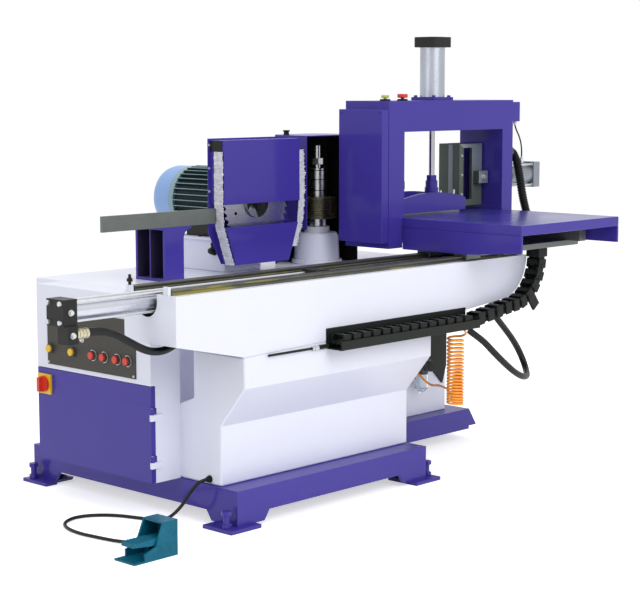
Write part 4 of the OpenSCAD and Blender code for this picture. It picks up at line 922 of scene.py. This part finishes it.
    def conduit(self, name: str, route: Sequence[Triple], node: str) -> None:
        """Ribbed conduit from the portal's right post to the table, as rings swept along its route.

        Args:
            name: name of the piece.
            route: points in millimetres.
            node: solid that it stands for, or nothing.
        """
        path = smooth(route, 14)
        curve = hose(name + "_line", path, self.conduit_d)
        curve.data.bevel_resolution = 4
        for i, point in enumerate(curve.data.splines[0].points):
            point.radius = 1.0 if i % 4 < 2 else self.conduit_neck
        pick(curve)
        bpy.ops.object.convert(target="MESH")
        tube = bpy.context.object
        tube.name = name
        bpy.ops.object.shade_smooth_by_angle(angle=math.radians(30))
        fit(tube, "carriage", NYLON)
        self.declare(tube, path, self.conduit_d, node, stiffness="stiff", lay="hanging",
                     path=[tuple(p) for p in path])

    def ends(self) -> None:
        """Fittings, glands and bushes where the cords enter the machine."""
        for name, seat, way, sleeves in (("feed_hose_end", self.feed_route[0], RIGHT, 3),
                                         ("feed_hose_union", self.feed_route[-1], DOWN, 1),
                                         ("loop_hose_end", self.loop_route[0], DOWN, 2),
                                         ("loop_hose_union", self.loop_route[-1], DOWN, 2)):
            steps = scaled((*HOSE_NUT, *(HOSE_SLEEVE * sleeves)[:-1]), self.hose_d)
            turnings("machine", FITTING, (name, seat, way, steps))
        bush = ((4, 24, 24), (7, 19, 24), (4, 15, 24))
        turnings("machine", RUBBER, ("cable_bush", self.pedal_route[0], LEFT, bush))
        fit(rod("pedal_boot", self.pedal_route[-1], (-328, 56, 30), 22, 24, 1.5, 14), "machine", RUBBER)
        gland = ((4, 48, 30), (9, 45, 6), (5, 40, 30))
        turnings("carriage", GREY, ("conduit_gland", self.conduit_route[0], RIGHT, gland),
                 ("table_gland", self.conduit_route[-1], RIGHT, gland),
                 ("front_conduit_gland", self.front_conduit_route[0], RIGHT, gland),
                 ("front_table_gland", self.front_conduit_route[-1], RIGHT, gland))
        small = ((5, 16, 6), (6, 13, 20), (3, 9, 20))
        turnings("carriage", IVORY, ("wire_gland", self.wire_route[0], DOWN, small),
                 ("front_wire_gland", self.front_wire_route[0], DOWN, small))
        turnings("carriage", ZINC,
                 ("cylinder_gland", self.wire_route[-1], UP, ((6, 20, 6), (5, 15, 20), (3, 10, 20))),
                 ("front_cylinder_gland", self.front_wire_route[-1], UP,
                  ((8, 22, 28), (9, 18, 6), (5, 13, 20), (3, 9, 20))))
        x, y, z = self.air_port
        top = (self.coil_axis[0] + (self.coil_d - self.air_d) / 2, self.coil_axis[1] - 24, self.coil_top)
        turnings("machine", ZINC,
                 ("air_inlet", (x - self.port_out, y, z), LEFT, ((4, 18, 6), (6, 14, 20), (4, 11, 20))),
                 ("coil_inlet", top, DOWN, ((5, 16, 6), (4, 12, 20))))


@dataclass
class Castings:
    """Base, pedestal, bed, rear body and rails."""

    casting_edge: float = 7
    sheet_edge: float = 4
    weld_edge: float = 3
    bed_left: float = -269
    bed_top: float = 760
    rail_ys: tuple[float, float] = (20, 188)
    rail_top: float = 776
    strip_xs: tuple[float, float] = (-255, 1437)
    strip_ys: tuple = ((39.2, 53), (155, 168.8))
    plug_pitch: float = 120
    plug_rows: int = 14
    gap_plate: tuple = ((1364, 331), (1387, 305), (1462, 232), (1485, 300), (1485, 560), (1364, 560))
    gap_plate_y: float = 372
    back_y: float = 1010
    side_x: float = 1489
    cover_z: tuple[float, float] = (172, 672)
    sheet_t: float = 3
    field_rim: float = 26
    field_out: float = 1.5
    screw_in: float = 13
    louvre_w: float = 280
    louvre_pitch: float = 17
    louvres: int = 6

    def build(self) -> None:
        """Softens and paints the machine's fixed body, and adds what is screwed to it."""
        dress(soften("base_frame", self.weld_edge), PURPLE)
        dress(soften("levelling_bolts", 1.2, clamp=False), PURPLE)
        dress(soften("pedestal", self.casting_edge, 3), WHITE)
        bed = dress(soften("bed", self.sheet_edge, 3), WHITE)
        paint(bed, OILED, inside((-260, 50, 640), (1450, 158, 759.5)))
        dress(soften("guide_rails", 0.8), WAYS)
        dress(soften("rear_body", self.sheet_edge, 3), WHITE)
        self.rail_fittings()
        # Black plate in the gap between the bed's back and the rear body.
        outline = [(x, self.gap_plate_y, z) for x, z in self.gap_plate]
        fit(plate("black_gap_plate", outline, (0, 8, 0), 1), "machine", TRAY)
        low, high = self.cover_z
        for i, (x0, x1) in enumerate(((60, 730), (768, 1438))):
            self.cover(f"back_cover_{i + 1}", (x0, self.back_y, low), (x1, self.back_y, high), BACK)
        self.cover("side_cover", (self.side_x, 430, low), (self.side_x, 960, high), RIGHT)

    def rail_fittings(self) -> None:
        """Oily strips beside the rails, screw plugs in them and the stops at their left end."""
        (x0, x1), z = self.strip_xs, self.bed_top
        for i, (y0, y1) in enumerate(self.strip_ys):
            fit(box(f"oily_strip_{i + 1}", (x0, y0, z), (x1, y1, z + 0.8), 0.3), "machine", OILED)
        front, rear = self.rail_ys
        plug = stack("rail_plug_one", (-225, front, self.rail_top - 0.6), UP, ((0.4, 13, 20), (0.35, 9, 6)))
        places = [moved(self.plug_pitch * i, y - front) for i in range(self.plug_rows)
                  for y in self.rail_ys]
        fit(spread("rail_plugs", plug, places), "machine", BLACK_IRON)
        x = self.bed_left
        for name, y, top, edge in (("rail_stop_post", front, 786, 2), ("rail_stop_block", rear, 779, 1.5)):
            fit(box(name, (x + 1, y - 12, z), (x + 12, y + 12, top), edge), "machine", WHITE)
        turnings("machine", BLACK_IRON, ("rail_stop_stud", (x + 6.5, rear, 779), UP,
                                         ((10, 10, 20), (9, 19, 6), (3, 13, 20), (10, 9, 16))))

    def cover(self, name: str, low: Triple, high: Triple, way: Triple) -> None:
        """One sheet cover with a raised field, screws at its edges and a row of louvres.

        Args:
            name: name of the cover.
            low: lowest corner on the body's face.
            high: highest corner.
            way: direction that the face looks in.
        """
        out, lo, hi = Vector(way), Vector(low), Vector(high)
        across = Vector(BACK if out.x else RIGHT)
        face = out * self.sheet_t
        sheet = box(name, tuple(lo), tuple(hi + face), 1)
        sink(sheet, lambda c, n: n.dot(out) > 0.9 and abs(n.z) < 0.1, self.field_rim, -self.field_out)
        fit(bevel(sheet, 0.6), "machine", CABINET)
        width, height, edge = (hi - lo).dot(across), hi.z - lo.z, self.screw_in
        seats = [tuple(lo + face + across * a + Vector((0, 0, b))) for a in (edge, width / 2, width - edge)
                 for b in (edge, height - edge)]
        fit(bolts(name + "_screws", seats, way, 6), "machine", ZINC)
        start = (lo + out * (self.sheet_t + self.field_out) + across * (width - self.louvre_w) / 2
                 + Vector((0, 0, height - 150)))
        corners = [start, start + Vector((0, 0, 13)), start + out * 7]
        slat = plate(name + "_slat", [tuple(c) for c in corners], tuple(across * self.louvre_w), 0.8)
        places = [moved(0, 0, self.louvre_pitch * i) for i in range(self.louvres)]
        fit(spread(name + "_louvres", slat, places), "machine", CABINET)


@dataclass
class Cabinet:
    """Electrical cabinet with its door, switch, panel and buttons."""

    panel_x: float = -118
    button_ys: tuple = (374, 426, 490, 547, 651, 767)
    button_z: float = 507
    button_edge: float = 0.7
    reds: int = 4
    ring_size: Triple = (37, 32.4, 2.5)
    lamps: tuple = ((638, 560), (601, 552))
    screw_ys: tuple[float, float] = (346, 778)
    screw_zs: tuple[float, float] = (461, 631)

    def build(self) -> None:
        """Finishes the cabinet's solids, and adds rings, pilot lamps and the panel's screws."""
        skins(("electrical_cabinet", 2, CABINET), ("cabinet_door", 2, PURPLE), ("switch_base", 3, YELLOW),
              ("switch_knob", 2.5, RED), ("control_panel", 0.8, PANEL))
        for i in range(len(self.button_ys)):
            dress(soften(f"button_{i + 1}", self.button_edge), RED if i < self.reds else YELLOW)
        x, first = self.panel_x, self.button_ys[0]
        for name, ys, finish in (("bright_rings", self.button_ys[:self.reds], ZINC),
                                 ("dark_rings", self.button_ys[self.reds:], GREY)):
            one = ring(name + "_one", (x, first, self.button_z), LEFT, *self.ring_size)
            fit(spread(name, one, [moved(0, y - first) for y in ys]), "machine", finish)
        y, z = self.lamps[0]
        lamp = stack("lamp_one", (x, y, z), LEFT, ((2, 18, 24), (3, 14, 24), (3, 11, 24)))
        fit(spread("pilot_lamps", lamp, [moved(0, b - y, c - z) for b, c in self.lamps]), "machine", IVORY)
        seats = [(x, b, c) for b in self.screw_ys for c in self.screw_zs]
        fit(bolts("panel_screws", seats, LEFT, 4), "machine", ZINC)


@dataclass
class FeedCylinder:
    """Hydraulic cylinder in the bed's trough."""

    plugs: tuple = ((-584, 57.5, 671), (-584, 65.5, 736))

    def build(self) -> None:
        """Finishes the cylinder's solids and adds its plugs."""
        coats(("feed_barrel", TUBE_X), ("feed_rod", CHROME))
        skins(("feed_ends", 2, BLACK_IRON), ("feed_tie_rods", 1, ZINC))
        fit(bolts("port_plugs", self.plugs, FRONT, 9), "machine", ZINC)


@dataclass
class SawUnit:
    """Trim saw: base, motor, arbor, blade, guard and outfeed bar."""

    axis: Triple = (650, 572, 965)
    blade_r: float = 160
    teeth: int = 40
    hub_r: float = 26
    fin_root_r: float = 117
    guard_x: tuple[float, float] = (454.5, 829.5)
    guard_y: tuple[float, float] = (529, 600)
    brush_rows: int = 110
    brush_columns: int = 9
    brush_t: float = 2.2
    left_edge: tuple = ((451, 1148), (451, 965), (456, 887), (503, 752))
    right_edge: tuple = ((1, 22, 1146), (1, 30, 1060), (1, 27, 965), (9, 16, 887), (36, -14, 800))
    web_middle: tuple[float, float] = (335, 856)
    web_r: float = 36

    def build(self) -> None:
        """Finishes the saw's solids and adds brushes, teeth and fittings."""
        dress(soften("saw_base", 6, 3), WHITE)
        motor = dress(soften("saw_motor", 0.8, 1, clamp=False), MOTOR)
        dress(soften("fan_cover", 0.6, 1), COVER)
        arbor = dress(soften("saw_arbor", 0.8), ARBOR)
        skins(("saw_guard", 1.2, PURPLE), ("outfeed_bar", 1.2, GROUND))
        coats(("saw_blade", BLADE))
        x, _, z = self.axis
        paint(arbor, BLACK_IRON, lambda c, n: c.y < 566 and math.hypot(c.x - x, c.z - z) < self.hub_r)
        # Painted shade: the faces between the motor's fins get the darkened paint.
        paint(motor, FIN_GAP, lambda c, n: 622 < c.y < 884 and c.z < z + 112
              and math.hypot(c.x - x, c.z - z) < self.fin_root_r)
        paint(motor, BLACK_IRON, lambda c, n: c.z < 880 and 655 < c.y < 845)
        self.bracket()
        self.tips()
        self.brushes()
        self.fittings()

    def bracket(self) -> None:
        """Upright channel under the outfeed bar, with painted shade inside, and its curved web under the
        bar.
        """
        foot = box("foot_cut", (299, 560, 714), (390, 580, 901), 0)
        channel = dress(soften("outfeed_bracket", 2, cuts=(foot,)), PURPLE)
        # Painted shade on the channel's inside faces.
        paint(channel, SHADED, inside((214, 567, 717), (290, 716, 898)))
        (x, z), r, y = self.web_middle, self.web_r, 566
        arc = [math.radians(90 + 9 * i) for i in range(11)]
        corners = [(298, y, 850), (298, y, 900), (x, y, 900)]
        corners += [(x + r * math.cos(a), y, z + r * math.sin(a)) for a in arc]
        fit(plate("bracket_web", corners, (0, 10, 0), 0.8), "machine", PURPLE)

    def tips(self) -> None:
        """Carbide tips brazed to the blade's teeth."""
        x, y, z = self.axis
        rim = x + self.blade_r
        tip = box("tip_one", (rim - 9, y - 0.5, z - 0.2), (rim - 0.1, y + 3.7, z + 3), 0.3)
        hub = at(x, y, z)
        turns = [turned(hub, hub, -2 * math.pi * i / self.teeth, "Y") for i in range(self.teeth)]
        fit(spread("blade_tips", tip, turns), "saw", CARBIDE)

    def curtain(self, name: str, edges: Sequence[tuple[Triple, Triple]], jitter: float,
                proud: Triple) -> None:
        """Brush as a ragged sheet between two edges.

        Args:
            name: name of the piece.
            edges: root and tip of the bristles at stations along the brush.
            jitter: how far the tips differ.
            proud: way in which the bristles bulge.
        """
        deselect()
        bpy.ops.mesh.primitive_grid_add(
            x_subdivisions=self.brush_columns - 1, y_subdivisions=self.brush_rows - 1)
        piece = settle(name)
        spans = len(edges) - 1
        for vertex in piece.data.vertices:
            share = (vertex.co.y + 1) / 2 * spans
            i = min(int(share), spans - 1)
            root, tip = [Vector(a).lerp(Vector(b), share - i) for a, b in zip(edges[i], edges[i + 1])]
            out = (vertex.co.x + 1) / 2
            place = root.lerp(tip, out) + (tip - root).normalized() * random.uniform(-1, 1) * jitter * out
            vertex.co = at(*(place + Vector(proud) * random.uniform(0, 1)))
        fit(apply(piece, "SOLIDIFY", thickness=self.brush_t / 1000, offset=0), "machine", BRISTLE)

    def brushes(self) -> None:
        """Brush curtains at both sides of the guard, and a black plate over the left one as painted shade
        of the gap there.
        """
        (x0, x1), (y0, y1) = self.guard_x, self.guard_y
        left = [((x, y0 + 44, z), (x, y0 + 1, z)) for x, z in self.left_edge]
        self.curtain("left_brush", left, 3.0, (-2.6, 0, 0))
        right = [((x1 - a, y0 + 5, z), (x1 + b, y0 + 5, z)) for a, b, z in self.right_edge]
        self.curtain("right_brush", right, 7.0, (0, -2.4, 0))
        # Black plate at the top of the guard's left side: painted shade of the open gap there.
        fit(box("guard_gap_shade", (x0 - 2.2, y0 + 8, 1148), (x0 - 0.2, y1 - 4, 1185), 0.6), "machine", RUBBER)
        seats = [(x0 - 6, y1 - 3, z) for z in (1170, 1090, 1010, 930)]
        fit(bolts("guard_bolts", seats, FRONT, 5), "machine", ZINC)

    @staticmethod
    def fittings() -> None:
        """Bolts of the saw base, the clamp screw on its side and the terminal box."""
        seats = [(x, y, 838) for x in (548, 752) for y in (650, 755, 860)]
        fit(bolts("saw_base_bolts", seats, UP, 7), "machine", BLACK_IRON)
        turnings("machine", BLACK_IRON,
                 ("lock_screw", (558, 690, 790), LEFT, ((6, 34, 28), (14, 26, 6), (5, 20, 20))),
                 ("lock_handle", (544, 690, 790), (-0.25, -0.4, 0.5), ((30, 12, 16), (9, 17, 20))))
        case = box("terminal_box", (752, 700, 915), (806, 810, 1015), 5)
        fit(sink(case, lambda c, n: n.x > 0.9, 9, 1.2), "machine", MOTOR)
        seats = [(806, y, z) for y in (706, 804) for z in (921, 1009)]
        fit(bolts("terminal_screws", seats, RIGHT, 4), "machine", ZINC)
        turnings("machine", GREY,
                 ("terminal_gland", (779, 730, 915), DOWN, ((6, 30, 6), (8, 26, 24), (4, 20, 24))))


@dataclass
class SpindleUnit:
    """Finger-jointing spindle with its hood and drive."""

    axis: tuple[float, float] = (1033, 637)
    flange_r: float = 90.2
    flange_z: float = 729
    flange_bolts: int = 6
    ring_zs: Triple = (986, 1026, 1060)
    hood_top: float = 1194

    def build(self) -> None:
        """Finishes the spindle's solids and adds rings, bolts and the hood's knob."""
        skins(("spindle_housing", 2, WHITE), ("spindle_shaft", 1.2, TURNED))
        gap = box("hood_cut", (880, 550, 710), (905, 715, 852), 0)
        hood = dress(soften("cutter_hood", 1.5, cuts=(gap,)), PURPLE)
        x, y = self.axis
        # The hood's inner faces get the black finish.
        paint(hood, LINING, lambda c, n: n.x * (c.x - x) + n.y * (c.y - y) < -5
              or (n.z < -0.9 and c.z > 1100))
        coats(("finger_cutters", CUTTER), ("spindle_motor", MOTOR), ("motor_pulley", IRON),
              ("drive_belt", RUBBER))
        step = 360 / self.flange_bolts
        angles = [math.radians(step * i + 15) for i in range(self.flange_bolts)]
        seats = [(x + self.flange_r * math.cos(a), y + self.flange_r * math.sin(a), self.flange_z)
                 for a in angles]
        fit(bolts("housing_bolts", seats, UP, 4), "machine", ZINC)
        for i, z in enumerate(self.ring_zs):
            turnings("spindle", BLACK_IRON,
                     (f"spindle_ring_{i + 1}", (x, y, z), UP, ((2.2, 60.8, 40), (0.8, 60.3, 40))))
        turnings("machine", NYLON,
                 ("hood_knob", (933, 697, self.hood_top), UP, ((4, 22, 24), (8, 19.4, 24), (5, 26, 12))))


@dataclass
class Carriage:
    """Sliding table with its portal and clamps."""

    portal_top: float = 1320
    buttons: tuple = ((1050, 315), (1146, 315))
    rod_axis: tuple[float, float] = (1375.5, 364.5)
    boss_top: float = 994
    flange_top: float = 1332
    flange_bolt: float = 44
    side_axis: tuple[float, float] = (342, 1024)
    side_tie: float = 40

    def build(self) -> None:
        """Finishes the carriage's solids and adds nuts, collars, tie rods and screws."""
        made = skins(
            ("bearing_blocks", 1.5, GROUND), ("saddle", 1.5, GROUND), ("table_top", 2.5, PURPLE),
            ("table_aprons", 1.5, PURPLE), ("portal", 2.5, PURPLE), ("junction_boxes", 2.5, PURPLE),
            ("clamp_tube", 1.2, TUBE), ("clamp_cap", 3, BLACK_IRON), ("press_plate", 2, PURPLE),
            ("side_cylinder", 2, CAST), ("side_pusher", 1.5, PUSHER), ("start_button", 2, GREEN),
            ("stop_button", 3, RED))
        coats(("clamp_rod", CHROME))
        paint(made["table_top"], TABLE, lambda c, n: n.z > 0.95 and c.z > 898)
        paint(made["clamp_tube"], PURPLE, lambda c, n: c.z < self.flange_top + 1)
        paint(made["side_pusher"], CHROME, lambda c, n: c.x > 1669)
        paint(made["side_pusher"], STRIP, lambda c, n: n.y < -0.9 and c.x > 1600 and c.y < 353)
        self.portal_fittings()
        self.clamp_fittings()
        self.side_fittings()

    def portal_fittings(self) -> None:
        """Collars of the buttons, lid screws, and the black stop in the opening."""
        home = (*self.buttons[0], self.portal_top)
        collar = stack("collar_one", home, UP, ((2, 44, 32), (4.6, 37, 32)))
        places = [moved(x - home[0]) for x, _ in self.buttons]
        fit(spread("button_collars", collar, places), "carriage", NYLON)
        seats = [(972, y, z) for y in (273, 457) for z in (826, 1277)]
        fit(bolts("box_screws", seats, LEFT, 4), "carriage", PURPLE)
        lid = box("box_lid", (1798, 276, 1242), (1802, 364, 1306), 1.2)
        fit(sink(lid, lambda c, n: n.x > 0.9, 6, 0.8), "carriage", PURPLE)
        fit(box("post_stop", (1094.8, 262, 1003), (1100.6, 286, 1031), 1.5), "carriage", BLACK_IRON)

    def clamp_fittings(self) -> None:
        """Collar and nut on the piston rod, studs on the press plate and bolts of the cylinder's flange."""
        (x, y), r = self.rod_axis, self.flange_bolt
        turnings("press", PURPLE,
                 ("rod_collar", (x, y, self.boss_top), UP, ((26, 46, 32), (2, 38, 32), (18, 40, 6))))
        stud = stack("stud_one", (1357, 304.5, 970), UP, ((13, 9, 20), (3, 6, 16)))
        fit(spread("press_studs", stud, [moved(), moved(78)]), "press", IVORY)
        seats = [(x + a, y + b, self.flange_top) for a in (-r, r) for b in (-r, r)]
        fit(bolts("flange_bolts", seats, UP, 8), "carriage", PURPLE)

    def side_fittings(self) -> None:
        """Tie rods of the side cylinder, wear strip, eye bolt and screws of its pusher."""
        (y, z), r = self.side_axis, self.side_tie
        for i, (a, b) in enumerate(((-r, -r), (-r, r), (r, -r), (r, r))):
            turnings("carriage", ZINC, (f"side_tie_{i + 1}", (1781, y + a, z + b), RIGHT,
                                        ((7, 15, 6), (131, 8, 20), (7, 15, 6))))
        fit(box("wear_strip", (1525, 384, 916), (1528.2, 404, 1150), 0.8), "pusher", STRIP)
        fit(bolts("eye_bolt", [(1640, 322, z)], FRONT, 11), "pusher", ZINC)
        fit(bolts("pusher_screws", [(1541, 352, a) for a in (960, 1034, 1108)], FRONT, 5), "pusher", ZINC)


@dataclass
class Services:
    """Cable tray, drag chain, air unit and foot pedal."""

    pitch: float = 48
    tray_links: int = 14
    climb_links: int = 4
    bend_links: int = 6
    start_x: float = 390
    tray_end: float = 1091
    nose_x: float = 1299
    bend_r: float = 169
    low: float = 31
    bed_top: float = 760
    saddle_z: float = 785.6
    chain_z: float = 560
    chain_y: float = -60.3
    chain_w: float = 58
    chain_t: float = 44
    cheek_t: float = 6
    cable_d: float = 13
    tab_turn: float = math.radians(38)
    air_unit: Triple = (1300, 344, 325)
    knob_ribs: int = 12

    def build(self) -> None:
        """Finishes the services and builds the chain."""
        skins(("cable_tray", 0.8, TRAY), ("air_unit", 2, GREY), ("pedal_base", 1.5, PEDAL),
              ("pedal_treadle", 1.2, PEDAL))
        coats(("air_bowl", CLEAR))
        self.chain()
        self.air_fittings()
        turnings("machine", ZINC,
                 ("rope_crimp", (300, -34, 543.7), RIGHT, ((8, 17, 6), (4, 12, 20), (16, 17, 20))))

    def air_fittings(self) -> None:
        """Ribs of the air unit's knob, the rim of its gauge and the bowl's collar."""
        x, y, z = self.air_unit
        rib = box("knob_rib_one", (x + 18.5, y - 2, z + 24), (x + 21.5, y + 2, z + 52), 0.6)
        hub, step = at(x, y, z), 360 / self.knob_ribs
        turns = [turned(hub, hub, math.radians(step * i), "Z") for i in range(self.knob_ribs)]
        fit(spread("knob_ribs", rib, turns), "machine", GREY)
        turnings("machine", NYLON, ("gauge_rim", (x, y - 48, z), FRONT, ((1.2, 37, 32), (0.8, 31, 32))))
        turnings("machine", GREY, ("bowl_collar", (x, y, z - 22), DOWN, ((8, 53, 36), (3, 51.5, 36))))

    def one_link(self) -> Piece:
        """One chain link at the tray's start: cheeks with tongues, crossbars and cables between them."""
        x, y, z, w, t = self.start_x, self.chain_y, self.chain_z, self.chain_w / 2, self.chain_t / 2
        parts = []
        for side in (-1, 1):
            y0, y1 = sorted((y + side * w, y + side * (w - self.cheek_t)))
            parts.append(box(f"cheek{side}", (x, y0, z - t), (x + 34, y1, z + t), 5))
            y0, y1 = sorted((y + side * (w - self.cheek_t - 0.2), y + side * (w - 11)))
            parts.append(box(f"tongue{side}", (x + 26, y0, z - t + 3), (x + 52, y1, z + t - 3), 5))
            seat = (x + 8, y + side * (w - 1), z)
            parts.append(stack(f"pin{side}", seat, (0, side, 0), ((1.8, 17, 20), (0.4, 10, 20))))
            z0, z1 = sorted((z + side * t, z + side * (t - 5)))
            parts.append(box(f"bar{side}", (x + 11, y - w + 5, z0), (x + 30, y + w - 5, z1), 1.8))
        for i, offset in enumerate((-16, -3, 11)):
            ends = [(x + a, y + offset, z - 4) for a in (-5, 45)]
            parts.append(rod(f"cable{i}", *ends, self.cable_d, 14, 0.5))
        return join("chain_link", parts)

    def chain(self) -> None:
        """Links laid along the tray, up to the nose, round it and up to the table's saddle."""
        y, nose, r = self.chain_y, self.nose_x, self.bend_r
        home = at(self.start_x + self.pitch / 2, y, self.chain_z)
        stops = [(self.start_x + (i + 0.5) * self.pitch, self.chain_z, 0.0) for i in range(self.tray_links)]
        climb = nose - self.tray_end
        lean = math.atan2(self.low, climb)
        for i in range(self.climb_links):
            t = (i + 0.5) / self.climb_links
            stops.append((self.tray_end + t * climb, self.chain_z + t * self.low, lean))
        for i in range(self.bend_links):
            turn = math.radians((i + 0.5) * 90 / self.bend_links)
            stops.append((nose + r * math.sin(turn), self.bed_top - r * math.cos(turn), turn))
        places = [turned(home, at(x, y, z), -turn, "Y") for x, z, turn in stops]
        links = spread("chain_links", self.one_link(), places)
        w, top_x = self.chain_w / 2, nose + r
        top = box("chain_top", (top_x - 27, y - w, self.bed_top - 6), (top_x + 27, y + w, self.saddle_z), 3)
        chain = join("link_chain", [links, top, self.tab()])
        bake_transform(chain)
        fit(chain, "machine", NYLON)
        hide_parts("drag_chain")

    def tab(self) -> Piece:
        """Plate that hangs from the bend's outer side."""
        cos, sin = math.cos(self.tab_turn), math.sin(self.tab_turn)
        corners = [(self.nose_x + u * cos - v * sin, -81.3, self.bed_top + u * sin + v * cos)
                   for u, v in ((-20, -186), (20, -186), (20, -237), (-20, -237))]
        return plate("chain_tab", corners, (0, 10, 0), 1.5)


@dataclass
class Studio:
    """Floor, soft light, world and camera, in metres."""

    lens: float = 93.917
    eye: Triple = (-4.181, -4.0313, 1.3713)
    forward: Triple = (0.72236, 0.67962, -0.12773)
    aim: Triple = (0, 0, 0.6)
    floor_size: float = 60
    floor_glow: float = 0.55
    sky: float = 0.5
    lamps: tuple = (("key_softbox", (-0.6, -6.0, 4.2), 5.0, 245),
                    ("fill_softbox", (-6.0, 0.5, 3.4), 4.0, 75),
                    ("top_softbox", (0.4, 0.6, 5.6), 5.0, 100))

    def build(self) -> None:
        """Sets up the scene round the machine."""
        scene = bpy.context.scene
        scene.view_settings.view_transform = "Standard"
        self.floor()
        self.world(scene)
        for name, place, size, watts in self.lamps:
            light = bpy.data.lights.new(name, "AREA")
            light.size = size
            light.energy = watts
            self.hang(name, light, place, Vector(self.aim) - Vector(place))
        data = bpy.data.cameras.new("photo_camera")
        data.lens = self.lens
        data.sensor_width = 36
        data.sensor_fit = "HORIZONTAL"
        data.clip_end = 100
        scene.camera = self.hang("photo_camera", data, self.eye, Vector(self.forward))

    @staticmethod
    def hang(name: str, data: bpy.types.ID, place: Triple, way: Vector) -> Piece:
        """Adds a lamp or camera.

        Args:
            name: its name.
            data: its light or lens.
            place: where it hangs.
            way: direction that it looks in.
        Returns:
            The new object.
        """
        thing = bpy.data.objects.new(name, data)
        thing.location = place
        thing.rotation_euler = way.to_track_quat("-Z", "Y").to_euler()
        bpy.context.scene.collection.objects.link(thing)
        return thing

    @staticmethod
    def see_plain(tree: Tree) -> Node:
        """Mask of rays from the camera, glossy faces and glass."""
        path = add(tree, "LightPath").outputs
        some = add(tree, "Math", {0: path["Is Camera Ray"], 1: path["Is Glossy Ray"]}, operation="MAXIMUM")
        return add(tree, "Math", {0: some, 1: path["Is Transmission Ray"]}, operation="MAXIMUM")

    def floor(self) -> None:
        """Plain pale floor that takes the machine's shadow and looks white to the eye."""
        deselect()
        bpy.ops.mesh.primitive_plane_add(size=self.floor_size, location=(0, 0, 0))
        floor = settle("studio_floor")
        material = blank("pale_floor_paint")
        tree = material.node_tree
        cloud = add(tree, "TexNoise", {"Vector": add(tree, "TexCoord").outputs["Object"], "Scale": 0.6})
        glow = remap(tree, self.see_plain(tree), 0.0, self.floor_glow)
        shader = add(tree, "BsdfPrincipled", {
            "Base Color": remap(tree, cloud, 0.9, 0.94), "Roughness": 0.9, "Specular IOR Level": 0.1,
            "Emission Color": (1, 1, 1, 1), "Emission Strength": glow})
        add(tree, "OutputMaterial", {"Surface": shader})
        floor.data.materials.append(material)

    def world(self, scene: bpy.types.Scene) -> None:
        """White to the eye and in reflections, plain soft light otherwise."""
        world = bpy.data.worlds.new("studio_world")
        scene.world = world
        world.use_nodes = True
        tree = world.node_tree
        tree.nodes.clear()
        strength = remap(tree, self.see_plain(tree), self.sky, 1.0)
        light = add(tree, "Background", {"Color": (1, 1, 1, 1), "Strength": strength})
        add(tree, "OutputWorld", {"Surface": light})


def main() -> None:
    """Builds the sub-assemblies in order."""
    logging.basicConfig(level=logging.INFO, format="%(name)s: %(message)s")
    random.seed(7)
    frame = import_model()
    NODES.update(frame["nodes"])
    for body, nodes in frame["record"]["behaviour"]["bodies"].items():
        BODY_OF.update({node: body for node in nodes})
    for part in (Studio, Cords, Castings, Cabinet, FeedCylinder, SawUnit, SpindleUnit, Carriage, Services):
        part().build()
    bpy.context.view_layer.update()


if __name__ == "__main__":
    main()
